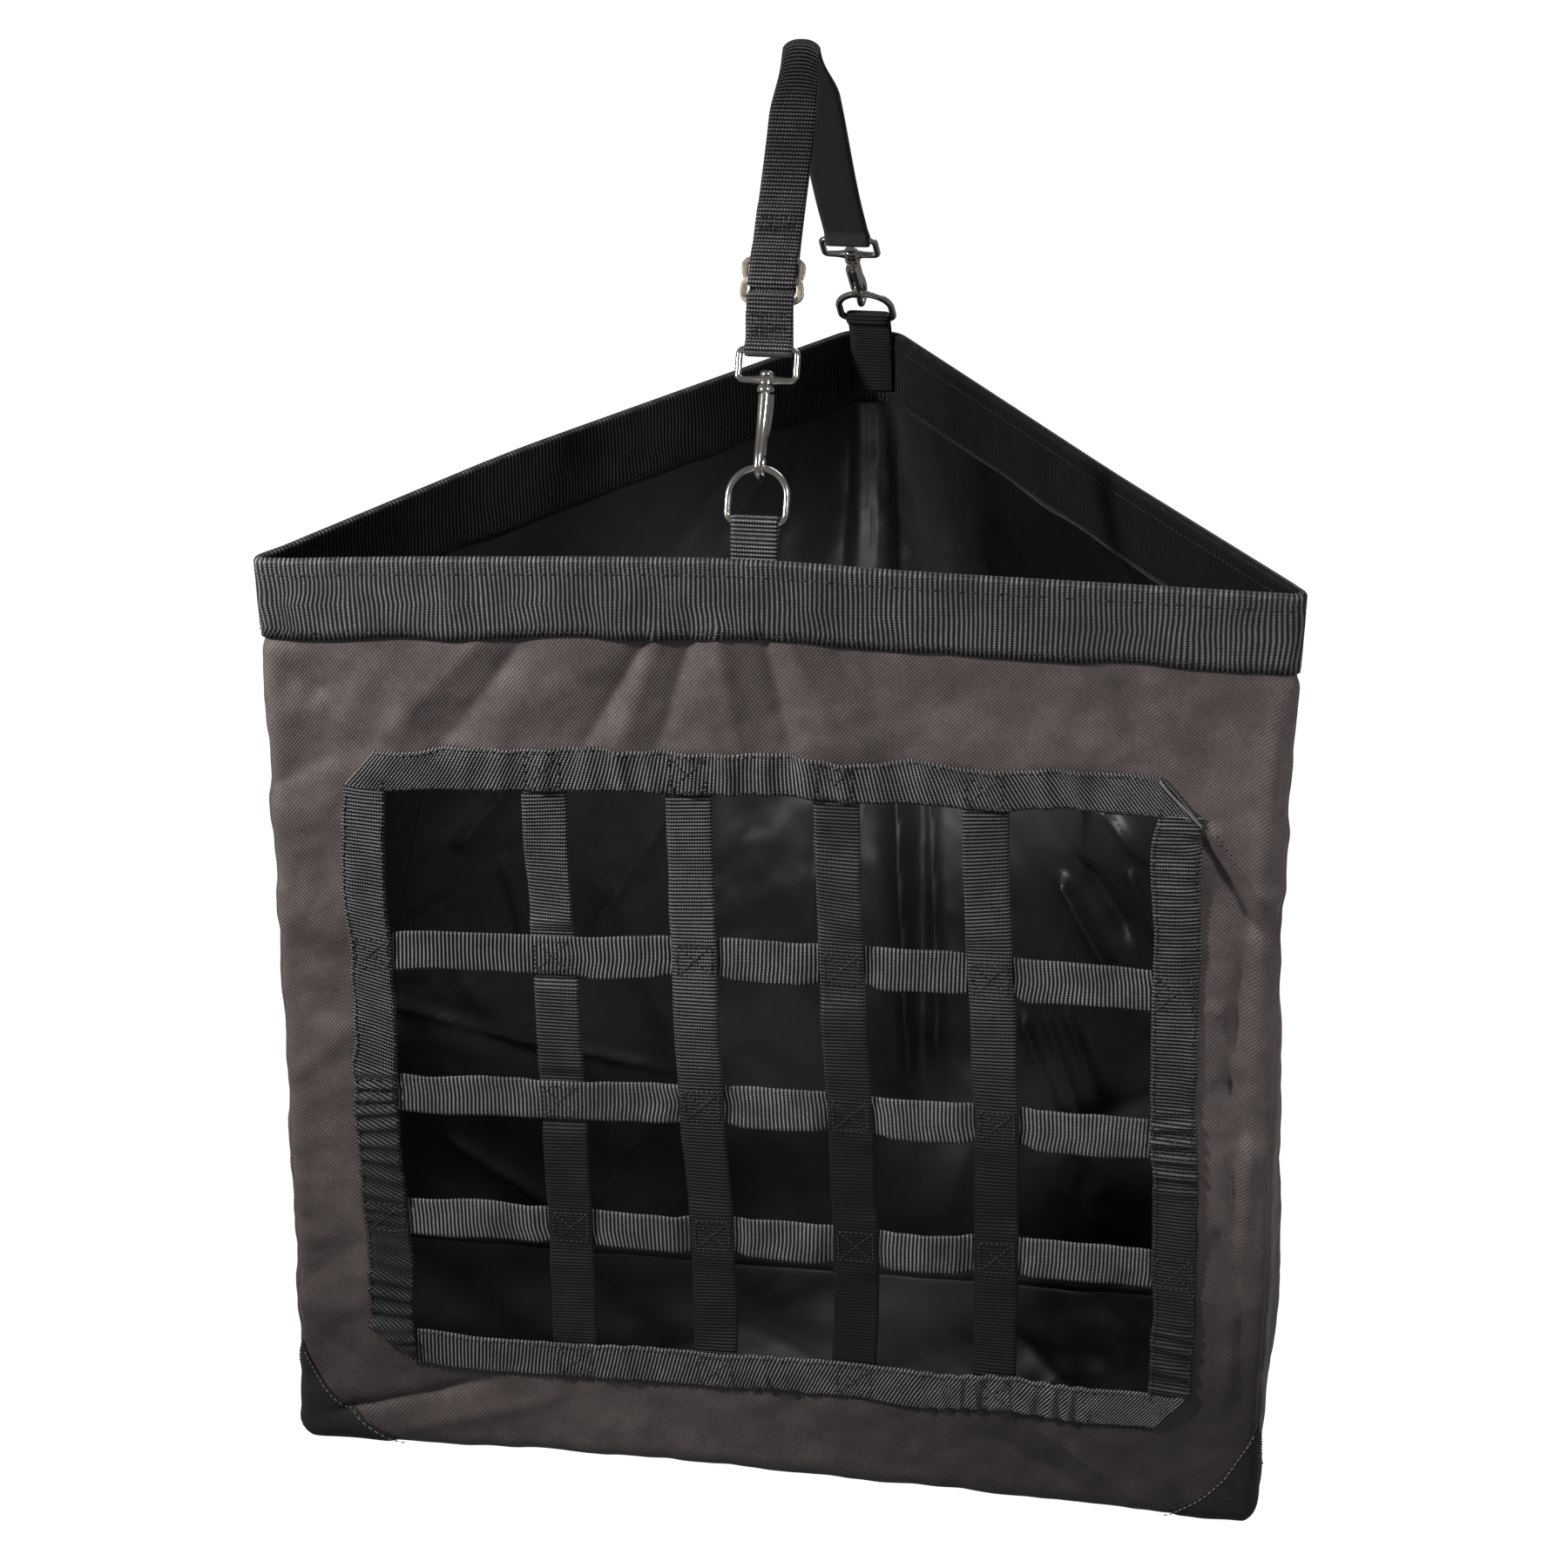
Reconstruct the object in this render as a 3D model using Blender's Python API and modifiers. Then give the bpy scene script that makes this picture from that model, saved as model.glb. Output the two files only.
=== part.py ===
"""Top-load hay bag with a webbing feeding grid, hung from an adjustable strap.

Metres, +Z up, front of the bag towards -Y.  The origin is the point where the
strap bears on the hook that carries it, so everything lies below z = 0 apart
from the two layers of strap that pass over the hook.
"""
import math

import bmesh
import bpy
from mathutils import Matrix, Vector

# ---------------------------------------------------------------- dimensions
GAP = 0.0003                 # clearance between parts that touch
BAG_WIDTH = 0.560
BAG_HEIGHT = 0.600           # length of a panel from mouth to bottom
MOUTH_Y = -0.120             # front edge of the mouth
MOUTH_Z = -0.255
FRONT_TILT = math.radians(9.9)   # the front panel runs back towards the bottom
MOUTH_DEPTH = 0.372          # front edge to back edge of the open mouth
MOUTH_RISE = math.radians(6.2)   # the back edge of the mouth is held higher
BOTTOM_RISE = math.radians(16.0)
BACK_FLAT = 0.014            # half of the flat stretch between the two back creases
SIDE_RUN = math.hypot(BAG_WIDTH / 2 - BACK_FLAT, MOUTH_DEPTH)
GUSSET = SIDE_RUN - (BAG_WIDTH / 2 - BACK_FLAT)
FABRIC = 0.0015
PANEL_ROWS = 9               # steps of a side panel from the binding to the bottom
BOTTOM_INSET = 0.0006        # bottom panel inside the lower edges of the sides

WEBBING = 0.0254             # one inch webbing
WEB_THICK = 0.0017
STRIP_END = 0.0105           # how far a grid strip reaches under the frame
WINDOW_HALF = 0.213          # half width of the window inside its frame
WINDOW_TOP = 0.1385
WINDOW_BOTTOM = 0.5125
COLUMN_PITCH = 0.0813
ROW_AT = (0.2465, 0.3425, 0.4305)
CORNER_CUT = 0.015           # chamfer of the frame corners
HOP_MARGIN = 0.002           # a strip stays behind this far past a crossing
HOP_RAMP = 0.006

BINDING = 0.042              # height of the folded binding on each side
BINDING_THICK = 0.0017
TAB_RISE = 0.0216            # ring bar above the mouth edge
TAB_TAIL = 0.036             # tab below the mouth edge
TAB_BEND = 0.004             # below the mouth edge, where a tab turns down inside
TAB_PINCH = 0.0085           # below the ring bar, where the tab's leaves meet
PATCH = 0.058                # leg of a corner patch
PATCH_SAG = 0.55             # how far the patch's free edge is hollowed

HOOK_RADIUS = 0.009          # bend of the strap over its hook
LINE_STAND = 0.001           # line of pull outside that bend
RING_WIRE = 0.0040
RING_WIDTH = 0.0355
RING_TOP = 0.029             # bar centre to the centre of the arc's wire
RING_CORNER = 0.0045
HOOK_LOW = 0.0213            # bar centre to the lowest point of the hook
EYE_LOW = 0.0760             # to the lower bar of the swivel eye
EYE_BAR = 0.0925             # to the upper bar of the swivel eye
EYE_WIRE = 0.0037
EYE_WIDTH = 0.0350
EYE_CORNER = 0.003
BOSS_RADIUS = 0.0044         # boss of the eye's lower bar, bored for the stud
BOSS_HEIGHT = 0.0042
BORE_RADIUS = 0.0023
SLIDE_AT = 0.1290            # to the centre bar of the adjuster
SLIDE_HALF = 0.0128
SLIDE_THICK = 0.0020
SLIDE_WAIST = 0.0160
SLIDE_LOBE = 0.0014
SLIDE_CORNER = 0.0050
SLOT_HALF = 0.0134
SLOT_CORNER = 0.0016
SEWN_TO = 0.1660             # end of the strap sewn above the adjuster
BAR = 0.0032
LOOP = 0.00045               # slack of a webbing loop round a bar

HOOK_BEND = 0.0062           # bend of the hook, at the middle of its wire
HOOK_WIRE = 0.0023           # radius of the hook where it carries the ring
TIP_RISE = 0.0060
TIP_WIRE = 0.0019            # radius of the hook at its open end
TIP_POINT = 0.0014
TIP_STRAIGHT = 0.0035        # straight end of the hook before its point
# spine of the snap: distance in front of the line of pull, height, radius
SPINE = (
    (0.0002, EYE_LOW - 0.0060, 0.0035),
    (0.0005, 0.0600, 0.0034),
    (0.0018, 0.0500, 0.0030),
    (0.0040, 0.0410, 0.0027),
    (0.0057, 0.0350, 0.0025),
)
COLLAR_RADII = (0.0046, 0.0036)
COLLAR_HEIGHT = 0.0044
COLLAR_DROP = 0.0047         # middle of the collar below the eye's lower bar
STUD_RADIUS = 0.0019
STUD_LENGTH = 0.0080
HEAD_RADII = (0.0036, 0.0030)
HEAD_HEIGHT = 0.0026
HEAD_RISE = 0.0037
BARREL_LOW = 0.0465
BARREL_HIGH = EYE_LOW - 0.0052
BARREL_RADII = (0.0037, 0.0040)
BARREL_SHIFT = 0.0008        # barrel's axis in front of the bolt's
BOLT_OUT = -0.0060           # bolt's line, behind the line of pull
BOLT_RADIUS = 0.0018
BOLT_GAP = 0.0003
BOLT_LENGTH_IN = 0.0085      # bolt inside its barrel when it is closed
TIP_GAP = 0.0005             # between the closed bolt and the hook's tip
BORE_DEPTH = 0.0175
BORE_OVER = 0.0005
THUMB_SLOT = (0.0030, 0.0124, 0.0080)
THUMB_SLOT_RISE = 0.0080
THUMB_SLOT_OUT = -0.0040
KNOB_RISE = 0.0036
KNOB_RADII = (0.0026, 0.0021)
KNOB_HEIGHT = 0.0022
KNOB_OUT = -0.0066
STEM_RADIUS = 0.0011
STEM_LENGTH = 0.0050
STEM_OUT = -0.0040

# strap below and above the adjuster, along the run
DIP_IN = 0.0040              # under the adjuster's centre bar, where the strap turns out
DIP_OUT = 0.0086
LAP_END = 0.0012             # clear of the adjuster's end
LIFT_END = 0.0080            # where the raised layer comes back down
SEWN_STEP = 0.0070           # step at the end of the layer sewn beneath
LOWER_LEG = (157.0, 385.0)   # degrees of the strap's wrap round the front eye
LOWER_RISE = ((0.0058, 0.0011), (0.0195, 0.0068))
BIGHT_TURN = (12.0, -192.0)  # degrees of the strap's wrap round the back eye
BIGHT_RISE = 0.010


# ------------------------------------------------------------------- helpers
def clear_scene():
    for item in list(bpy.data.objects):
        bpy.data.objects.remove(item, do_unlink=True)


def new_collection(name):
    group = bpy.data.collections.new(name)
    bpy.context.scene.collection.children.link(group)
    return group


def material(name, colour, roughness, metallic=0.0):
    mat = bpy.data.materials.get(name)
    if mat is None:
        mat = bpy.data.materials.new(name)
        mat.use_nodes = True
        shader = mat.node_tree.nodes["Principled BSDF"]
        shader.inputs["Base Color"].default_value = (*colour, 1.0)
        shader.inputs["Roughness"].default_value = roughness
        shader.inputs["Metallic"].default_value = metallic
    return mat


def fabric(name):
    return material(name + "_oxford", (0.085, 0.070, 0.064), 0.75)


def webbing(name):
    return material(name + "_webbing", (0.020, 0.020, 0.022), 0.8)


def nickel(name):
    return material(name + "_nickel", (0.72, 0.70, 0.67), 0.18, 1.0)


def dull_steel(name):
    return material(name + "_stamped", (0.46, 0.41, 0.34), 0.42, 1.0)


def add_object(name, mesh, mat, group):
    obj = bpy.data.objects.new(name, mesh)
    group.objects.link(obj)
    if mat is not None:
        obj.data.materials.clear()
        obj.data.materials.append(mat)
    return obj


def mesh_from_bmesh(name, bm):
    bmesh.ops.recalc_face_normals(bm, faces=bm.faces)
    mesh = bpy.data.meshes.new(name)
    bm.to_mesh(mesh)
    bm.free()
    return mesh


def grid_mesh(name, point, across, down):
    """Open surface point(u, s) over two lists of stations."""
    bm = bmesh.new()
    rows = [[bm.verts.new(point(u, s)) for u in across] for s in down]
    for upper, lower in zip(rows, rows[1:]):
        for i in range(len(across) - 1):
            bm.faces.new((upper[i], upper[i + 1], lower[i + 1], lower[i]))
    mesh = bpy.data.meshes.new(name)
    bm.to_mesh(mesh)
    bm.free()
    return mesh


def thicken(obj, thickness, offset):
    mod = obj.modifiers.new("thickness", "SOLIDIFY")
    mod.thickness = thickness
    mod.offset = offset
    mod.use_even_offset = True
    mod.use_quality_normals = True
    return mod


def face_away(mesh, middle):
    """Turn an open sheet so that its faces look away from a point."""
    face = mesh.polygons[0]
    if face.normal.dot(face.center - middle) < 0:
        mesh.flip_normals()


def panel(name, point, across, down, mat, group, thickness=FABRIC):
    """Sheet whose face looks outwards, thickened to the outside."""
    mesh = grid_mesh(name, point, across, down)
    face_away(mesh, front_point(0.0, BAG_HEIGHT / 2, -0.08))
    obj = add_object(name, mesh, mat, group)
    thicken(obj, thickness, 1.0)
    return obj


def ribbon(name, path, half, frame, mat, group, thick=WEB_THICK):
    """Webbing: a centre line of (along, depth) pairs, swept sideways by 2 * half."""
    bm = bmesh.new()
    left = [bm.verts.new(frame(-half, a, d)) for a, d in path]
    right = [bm.verts.new(frame(half, a, d)) for a, d in path]
    for i in range(len(path) - 1):
        bm.faces.new((left[i], right[i], right[i + 1], left[i + 1]))
    mesh = bpy.data.meshes.new(name)
    bm.to_mesh(mesh)
    bm.free()
    obj = add_object(name, mesh, mat, group)
    thicken(obj, thick, 0.0)
    return obj


def boolean(obj, other, operation, remove=True):
    """Bake one exact Boolean into obj."""
    mod = obj.modifiers.new("cut", "BOOLEAN")
    mod.operation = operation
    mod.solver = "EXACT"
    mod.object = other
    bpy.context.view_layer.update()
    deps = bpy.context.evaluated_depsgraph_get()
    mesh = bpy.data.meshes.new_from_object(obj.evaluated_get(deps))
    obj.modifiers.clear()
    old = obj.data
    obj.data = mesh
    bpy.data.meshes.remove(old)
    if remove:
        bpy.data.objects.remove(other, do_unlink=True)


def smooth(obj, degrees=35.0):
    obj.data.shade_smooth()
    obj.data.set_sharp_from_angle(angle=math.radians(degrees))


def wire(name, points, radii, cyclic, mat, group):
    """Round bar along points, as a welded mesh."""
    curve = bpy.data.curves.new(name, "CURVE")
    curve.dimensions = "3D"
    curve.bevel_depth = 1.0
    curve.bevel_resolution = 2
    curve.use_fill_caps = not cyclic
    line = curve.splines.new("POLY")
    line.points.add(len(points) - 1)
    for target, point, radius in zip(line.points, points, radii):
        target.co = (*point, 1.0)
        target.radius = radius
    line.use_cyclic_u = cyclic
    guide = bpy.data.objects.new(name + "_guide", curve)
    group.objects.link(guide)
    bpy.context.view_layer.update()
    deps = bpy.context.evaluated_depsgraph_get()
    mesh = bpy.data.meshes.new_from_object(guide.evaluated_get(deps))
    bpy.data.objects.remove(guide, do_unlink=True)
    bm = bmesh.new()
    bm.from_mesh(mesh)
    bmesh.ops.remove_doubles(bm, verts=bm.verts, dist=0.00001)
    bmesh.ops.recalc_face_normals(bm, faces=bm.faces)
    bm.to_mesh(mesh)
    bm.free()
    return add_object(name, mesh, mat, group)


def cylinder(name, centre, axis, radius, length, mat, group, sides=16, radius_end=None):
    """Round bar centred on a point, its radius_end towards +axis."""
    bm = bmesh.new()
    end = radius if radius_end is None else radius_end
    bmesh.ops.create_cone(bm, cap_ends=True, segments=sides, radius1=radius,
                          radius2=end, depth=length)
    turn = Vector(axis).to_track_quat("Z", "Y").to_matrix().to_4x4()
    bm.transform(Matrix.Translation(centre) @ turn)
    return add_object(name, mesh_from_bmesh(name, bm), mat, group)


def block(name, centre, axes, sizes, mat, group):
    """Box from its centre, three unit axes and three full sizes."""
    bm = bmesh.new()
    bmesh.ops.create_cube(bm, size=1.0)
    turn = Matrix([Vector(a) for a in axes]).transposed().to_4x4()
    bm.transform(Matrix.Translation(centre) @ turn @ Matrix.Diagonal((*sizes, 1.0)))
    return add_object(name, mesh_from_bmesh(name, bm), mat, group)


def arc(centre, radius, start, end, steps):
    """Points of a plane arc, angles in radians."""
    span = [start + (end - start) * i / steps for i in range(steps + 1)]
    return [(centre[0] + radius * math.cos(t), centre[1] + radius * math.sin(t)) for t in span]


# ----------------------------------------------------------- shape of the bag
DOWN = Vector((0.0, math.sin(FRONT_TILT), -math.cos(FRONT_TILT)))
OUT = Vector((0.0, -math.cos(FRONT_TILT), -math.sin(FRONT_TILT)))


def front_point(x, s, out=0.0):
    """Point of the front panel, s below the mouth edge, out in front of its inner face."""
    return Vector((x, MOUTH_Y, MOUTH_Z)) + DOWN * s + OUT * out


def ease(t):
    t = min(max(t, 0.0), 1.0)
    return t * t * (3.0 - 2.0 * t)


def section(s):
    """Corner points, right half, of the bag's plan at s below the mouth."""
    below = ease((s - BINDING) / (BAG_HEIGHT - BINDING))
    depth = MOUTH_DEPTH + (GUSSET - MOUTH_DEPTH) * below
    rise = MOUTH_RISE + (BOTTOM_RISE - MOUTH_RISE) * below
    half = BAG_WIDTH / 2
    reach = half - BACK_FLAT
    base = math.hypot(reach, depth)
    along = (GUSSET ** 2 - reach ** 2 + base ** 2) / (2 * base)
    bulge = math.sqrt(max(GUSSET ** 2 - along ** 2, 0.0))
    ex, ed = -reach / base, depth / base
    corner = (half + ex * along + ed * bulge, ed * along - ex * bulge)
    inward = Vector((0.0, math.cos(rise), math.sin(rise)))
    start = front_point(0.0, s)
    plan = ((half, 0.0), corner, (BACK_FLAT, depth))
    return [start + Vector((x, 0.0, 0.0)) + inward * d for x, d in plan]


def side_point(side, k, s):
    """k runs 0 to 1 over the gusset and 1 to 2 over half of the back."""
    a, b, c = section(s)
    first, last = (a, b) if k <= 1.0 else (b, c)
    point = first.lerp(last, k if k <= 1.0 else k - 1.0)
    return Vector((side * point.x, point.y, point.z))


def panel_stations():
    """Heights at which a side panel is shaped, from the mouth to the bottom."""
    run = BAG_HEIGHT - GAP - BINDING
    return [0.0] + [BINDING + run * i / PANEL_ROWS for i in range(PANEL_ROWS + 1)]


def build_front(group):
    """Front panel: four-sided sheet with its window cut out."""
    half = BAG_WIDTH / 2 - GAP
    hole = WINDOW_HALF + WEBBING / 2
    top = WINDOW_TOP - WEBBING / 2
    low = WINDOW_BOTTOM + WEBBING / 2
    bm = bmesh.new()
    xs = (-half, -hole, hole, half)
    ss = (0.0, top, low, BAG_HEIGHT - GAP)
    grid = [[bm.verts.new(front_point(x, s)) for x in xs] for s in ss]
    for j in range(3):
        for i in range(3):
            if i == 1 and j == 1:
                continue
            bm.faces.new((grid[j][i], grid[j + 1][i], grid[j + 1][i + 1], grid[j][i + 1]))
    mesh = bpy.data.meshes.new("front_panel")
    bm.to_mesh(mesh)
    bm.free()
    obj = add_object("front_panel", mesh, fabric("front_panel"), group)
    thicken(obj, FABRIC, 1.0)


def build_sides(group):
    """Gussets, the creased back panel and the bottom."""
    edge = GAP / GUSSET
    down = panel_stations()
    for side, word in ((-1, "left"), (1, "right")):
        def face(k, s, side=side):
            return side_point(side, k, s)
        panel("gusset_" + word, face, (edge, 0.5, 1.0 - edge), down,
              fabric("gusset_" + word), group)
    stops = (1.0 + edge, 1.5, 2.0)
    across = [(-1, k) for k in stops] + [(1, k) for k in reversed(stops)]
    panel("back_panel", lambda u, s: side_point(u[0], u[1], s), across, down,
          fabric("back_panel"), group)


def build_bottom(group):
    """Bottom panel between the lower edges of the four sides."""
    base = front_point(0.0, BAG_HEIGHT)
    near, far = BOTTOM_INSET, GUSSET - BOTTOM_INSET
    down = Vector((0.0, math.sin(BOTTOM_RISE), -math.cos(BOTTOM_RISE)))
    back = Vector((0.0, math.cos(BOTTOM_RISE), math.sin(BOTTOM_RISE)))
    bm = bmesh.new()
    corners = []
    for side, d in ((-1, near), (1, near), (1, far), (-1, far)):
        x = side * (BAG_WIDTH / 2 - BOTTOM_INSET)
        corners.append(bm.verts.new(base + back * d + down * GAP + Vector((x, 0.0, 0.0))))
    bm.faces.new(corners)
    mesh = bpy.data.meshes.new("bottom_panel")
    bm.to_mesh(mesh)
    bm.free()
    face_away(mesh, front_point(0.0, BAG_HEIGHT / 2, -0.08))
    obj = add_object("bottom_panel", mesh, fabric("bottom_panel"), group)
    thicken(obj, FABRIC, 1.0)


# -------------------------------------------------- binding round the mouth
def mouth_ring(s, out):
    """Closed plan of the mouth at depth s, moved outwards by out."""
    rise = MOUTH_RISE
    inward = Vector((0.0, math.cos(rise), math.sin(rise)))
    across = Vector((1.0, 0.0, 0.0))
    half = BAG_WIDTH / 2
    plan = [(-half, 0.0), (half, 0.0), (BACK_FLAT, MOUTH_DEPTH), (-BACK_FLAT, MOUTH_DEPTH)]
    # the plan is measured square to the panels, so the sheet keeps its thickness
    lean = math.cos(FRONT_TILT - rise)
    count = len(plan)
    flat = [Vector((x, d * lean)) for x, d in plan]
    moved = []
    for i in range(count):
        before = (flat[i] - flat[i - 1]).normalized()
        after = (flat[(i + 1) % count] - flat[i]).normalized()
        n1 = Vector((before.y, -before.x))
        n2 = Vector((after.y, -after.x))
        bisector = (n1 + n2).normalized()
        moved.append(flat[i] + bisector * (out / max(bisector.dot(n1), 0.2)))
    start = front_point(0.0, s)
    return [start + across * p.x + inward * (p.y / lean) for p in moved]


def build_binding(group):
    """Wide webbing folded over the mouth edge, one leaf outside and one inside."""
    outer = FABRIC + GAP
    inner = -GAP
    rings = [
        (BINDING, outer), (BINDING, outer + BINDING_THICK),
        (-GAP, outer + BINDING_THICK), (-GAP - BINDING_THICK, outer),
        (-GAP - BINDING_THICK, inner), (-GAP, inner - BINDING_THICK),
        (BINDING, inner - BINDING_THICK), (BINDING, inner),
        (-GAP, inner), (-GAP, outer),
    ]
    bm = bmesh.new()
    loops = [[bm.verts.new(p) for p in mouth_ring(s, out)] for s, out in rings]
    count = len(loops[0])
    for j in range(len(loops)):
        here, there = loops[j], loops[(j + 1) % len(loops)]
        for i in range(count):
            k = (i + 1) % count
            bm.faces.new((here[i], here[k], there[k], there[i]))
    add_object("mouth_binding", mesh_from_bmesh("mouth_binding", bm),
               webbing("mouth_binding"), group)


# ------------------------------------------------------ window frame and grid
def strip_plate(name, outline, low, high, group):
    """Flat webbing strip on the front panel from its outline in (x, s)."""
    bm = bmesh.new()
    back = [bm.verts.new(front_point(x, s, low)) for x, s in outline]
    bm.faces.new(back)
    mesh = mesh_from_bmesh(name, bm)
    obj = add_object(name, mesh, webbing(name), group)
    thicken(obj, high - low, 1.0)
    if mesh.polygons[0].normal.dot(OUT) < 0:
        mesh.flip_normals()
    return obj


def build_frame(group):
    """Four strips round the window; the side strips butt against the cut ends."""
    low = FABRIC + GAP
    high = low + WEB_THICK
    x0 = WINDOW_HALF
    x1 = WINDOW_HALF + WEBBING
    s0, s1 = WINDOW_TOP - WEBBING, WINDOW_TOP
    s2, s3 = WINDOW_BOTTOM, WINDOW_BOTTOM + WEBBING
    cut = CORNER_CUT
    seam = GAP / 2
    for name, outer, inner in (("frame_top", s0, s1), ("frame_bottom", s3, s2)):
        step = 1 if inner > outer else -1
        outline = [(-x1 + cut, outer), (x1 - cut, outer),
                   (x1 - cut / 2 - seam, outer + step * cut / 2),
                   (x0, inner - step * seam), (x0, inner), (-x0, inner), (-x0, inner - step * seam),
                   (-x1 + cut / 2 + seam, outer + step * cut / 2)]
        strip_plate(name, outline, low, high, group)
    for side, word in ((-1, "left"), (1, "right")):
        slant = side * (x1 - cut / 2 + seam)
        inner_edge = side * (x0 + GAP)
        outline = [(slant, s0 + cut / 2 + seam), (side * x1, s0 + cut),
                   (side * x1, s3 - cut), (slant, s3 - cut / 2 - seam),
                   (inner_edge, s2 + seam), (inner_edge, s1 - seam)]
        strip_plate("frame_" + word, outline, low, high, group)


def wave(stations, crossings, rest):
    """Depth of a strip along its length: rest, but stepping at each crossing."""
    path = []
    reach = WEBBING / 2 + HOP_MARGIN
    points = [(stations[0], rest)]
    for where, depth in crossings:
        points += [(where - reach - HOP_RAMP, rest), (where - reach, depth),
                   (where + reach, depth), (where + reach + HOP_RAMP, rest)]
    points.append((stations[1], rest))
    for point in points:
        if not path or abs(point[0] - path[-1][0]) > 1e-6:
            path.append(point)
    kept = [path[0]]
    for a, b, c in zip(path, path[1:], path[2:]):
        if not (a[1] == b[1] == c[1]):
            kept.append(b)
    kept.append(path[-1])
    return kept


def build_grid(group):
    """Four columns and three rows; the first column weaves under the upper rows."""
    face = FABRIC - WEB_THICK / 2            # a strip's middle, level with the fabric
    behind = face - WEB_THICK - GAP
    xs = [(i - 1.5) * COLUMN_PITCH for i in range(4)]
    ends = (WINDOW_TOP - STRIP_END, WINDOW_BOTTOM + STRIP_END)
    for i, x in enumerate(xs):
        hops = []
        if i == 0:
            hops = [(ROW_AT[0], behind), (ROW_AT[1], behind)]
        path = wave(ends, hops, face)

        def column(across, along, depth, x=x):
            return front_point(x + across, along, depth)
        name = "grid_vertical_%d" % (i + 1)
        ribbon(name, path, WEBBING / 2, column, webbing(name), group)
    reach = WINDOW_HALF + STRIP_END
    for j, s in enumerate(ROW_AT):
        hidden = xs if j == 2 else xs[1:]
        path = wave((-reach, reach), [(x, behind) for x in hidden], face)

        def row(across, along, depth, s=s):
            return front_point(along, s + across, depth)
        name = "grid_horizontal_%d" % (j + 1)
        ribbon(name, path, WEBBING / 2, row, webbing(name), group)


# -------------------------------------------------------------- corner patches
def corner_patch(name, corner, legs, group):
    """Three-faced cap over a bottom corner; legs are the corner's three edges."""
    normals = []
    for i in range(3):
        n = legs[i].cross(legs[(i + 1) % 3]).normalized()
        if n.dot(legs[(i + 2) % 3]) > 0:
            n = -n
        normals.append(n)
    offset = FABRIC + GAP
    # the point where the three offset planes meet
    planes = Matrix([tuple(n) for n in normals])
    apex = corner + planes.inverted() @ Vector((offset, offset, offset))
    bm = bmesh.new()
    tip = bm.verts.new(apex)
    ends = [bm.verts.new(apex + leg * PATCH) for leg in legs]
    for i in range(3):
        a, b = legs[i], legs[(i + 1) % 3]
        chain = [ends[i]]
        for t in (0.25, 0.5, 0.75):
            sag = 1.0 - PATCH_SAG * math.sin(math.pi * t)
            chain.append(bm.verts.new(apex + (a * (1 - t) + b * t) * PATCH * sag))
        chain.append(ends[(i + 1) % 3])
        for p, q in zip(chain, chain[1:]):
            face = bm.faces.new((tip, p, q))
            face.normal_update()
            if face.normal.dot(normals[i]) < 0:
                face.normal_flip()
    mesh = bpy.data.meshes.new(name)
    bm.to_mesh(mesh)
    bm.free()
    obj = add_object(name, mesh, webbing(name), group)
    thicken(obj, FABRIC, 1.0)


def build_patches(group):
    corner = section(BAG_HEIGHT)[0]
    back = Vector((0.0, math.cos(BOTTOM_RISE), math.sin(BOTTOM_RISE)))
    for side, word in ((-1, "left"), (1, "right")):
        inward = Vector((-side, 0.0, 0.0))
        front_corner = Vector((side * corner.x, corner.y, corner.z))
        corner_patch("patch_front_" + word, front_corner, [inward, -DOWN, back], group)


# ------------------------------------------------------------------- hardware
class Chain:
    """Straight run from the mouth up to the hook; along is measured up from its ring bar.

    The run is the outer tangent from the mouth to the bend of the strap, and out points
    away from the space between the two runs.
    """

    def __init__(self, word):
        self.word = word
        side = -1.0 if word == "front" else 1.0
        self.mouth = front_point(0.0, 0.0)
        if word == "back":
            rise = Vector((0.0, math.cos(MOUTH_RISE), math.sin(MOUTH_RISE)))
            self.mouth += rise * MOUTH_DEPTH
        to_centre = Vector((0.0, 0.0, -HOOK_RADIUS)) - self.mouth
        lean = math.asin((HOOK_RADIUS + LINE_STAND) / to_centre.length) * side
        self.up = Matrix.Rotation(-lean, 3, "X") @ to_centre.normalized()
        self.out = Vector((0.0, self.up.z, -self.up.y)) * side
        self.bar = self.mouth + self.up * TAB_RISE

    def at(self, x, along, out):
        return self.bar + Vector((x, 0.0, 0.0)) + self.up * along + self.out * out


def build_ring(chain, group):
    """D-ring: a straight bar in its tab, two sides and a round arc."""
    half = (RING_WIDTH - RING_WIRE) / 2
    corner = RING_CORNER
    outline = [(half - corner, 0.0)]
    outline += arc((half - corner, corner), corner, -math.pi / 2, 0.0, 4)[1:]
    outline += arc((0.0, RING_TOP - half), half, 0.0, math.pi, 14)
    outline += arc((-half + corner, corner), corner, math.pi, 1.5 * math.pi, 4)
    points = [chain.at(x, a, 0.0) for x, a in outline]
    name = chain.word + "_ring"
    obj = wire(name, points, [RING_WIRE / 2] * len(points), True, nickel(name), group)
    smooth(obj)
    return obj


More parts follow.
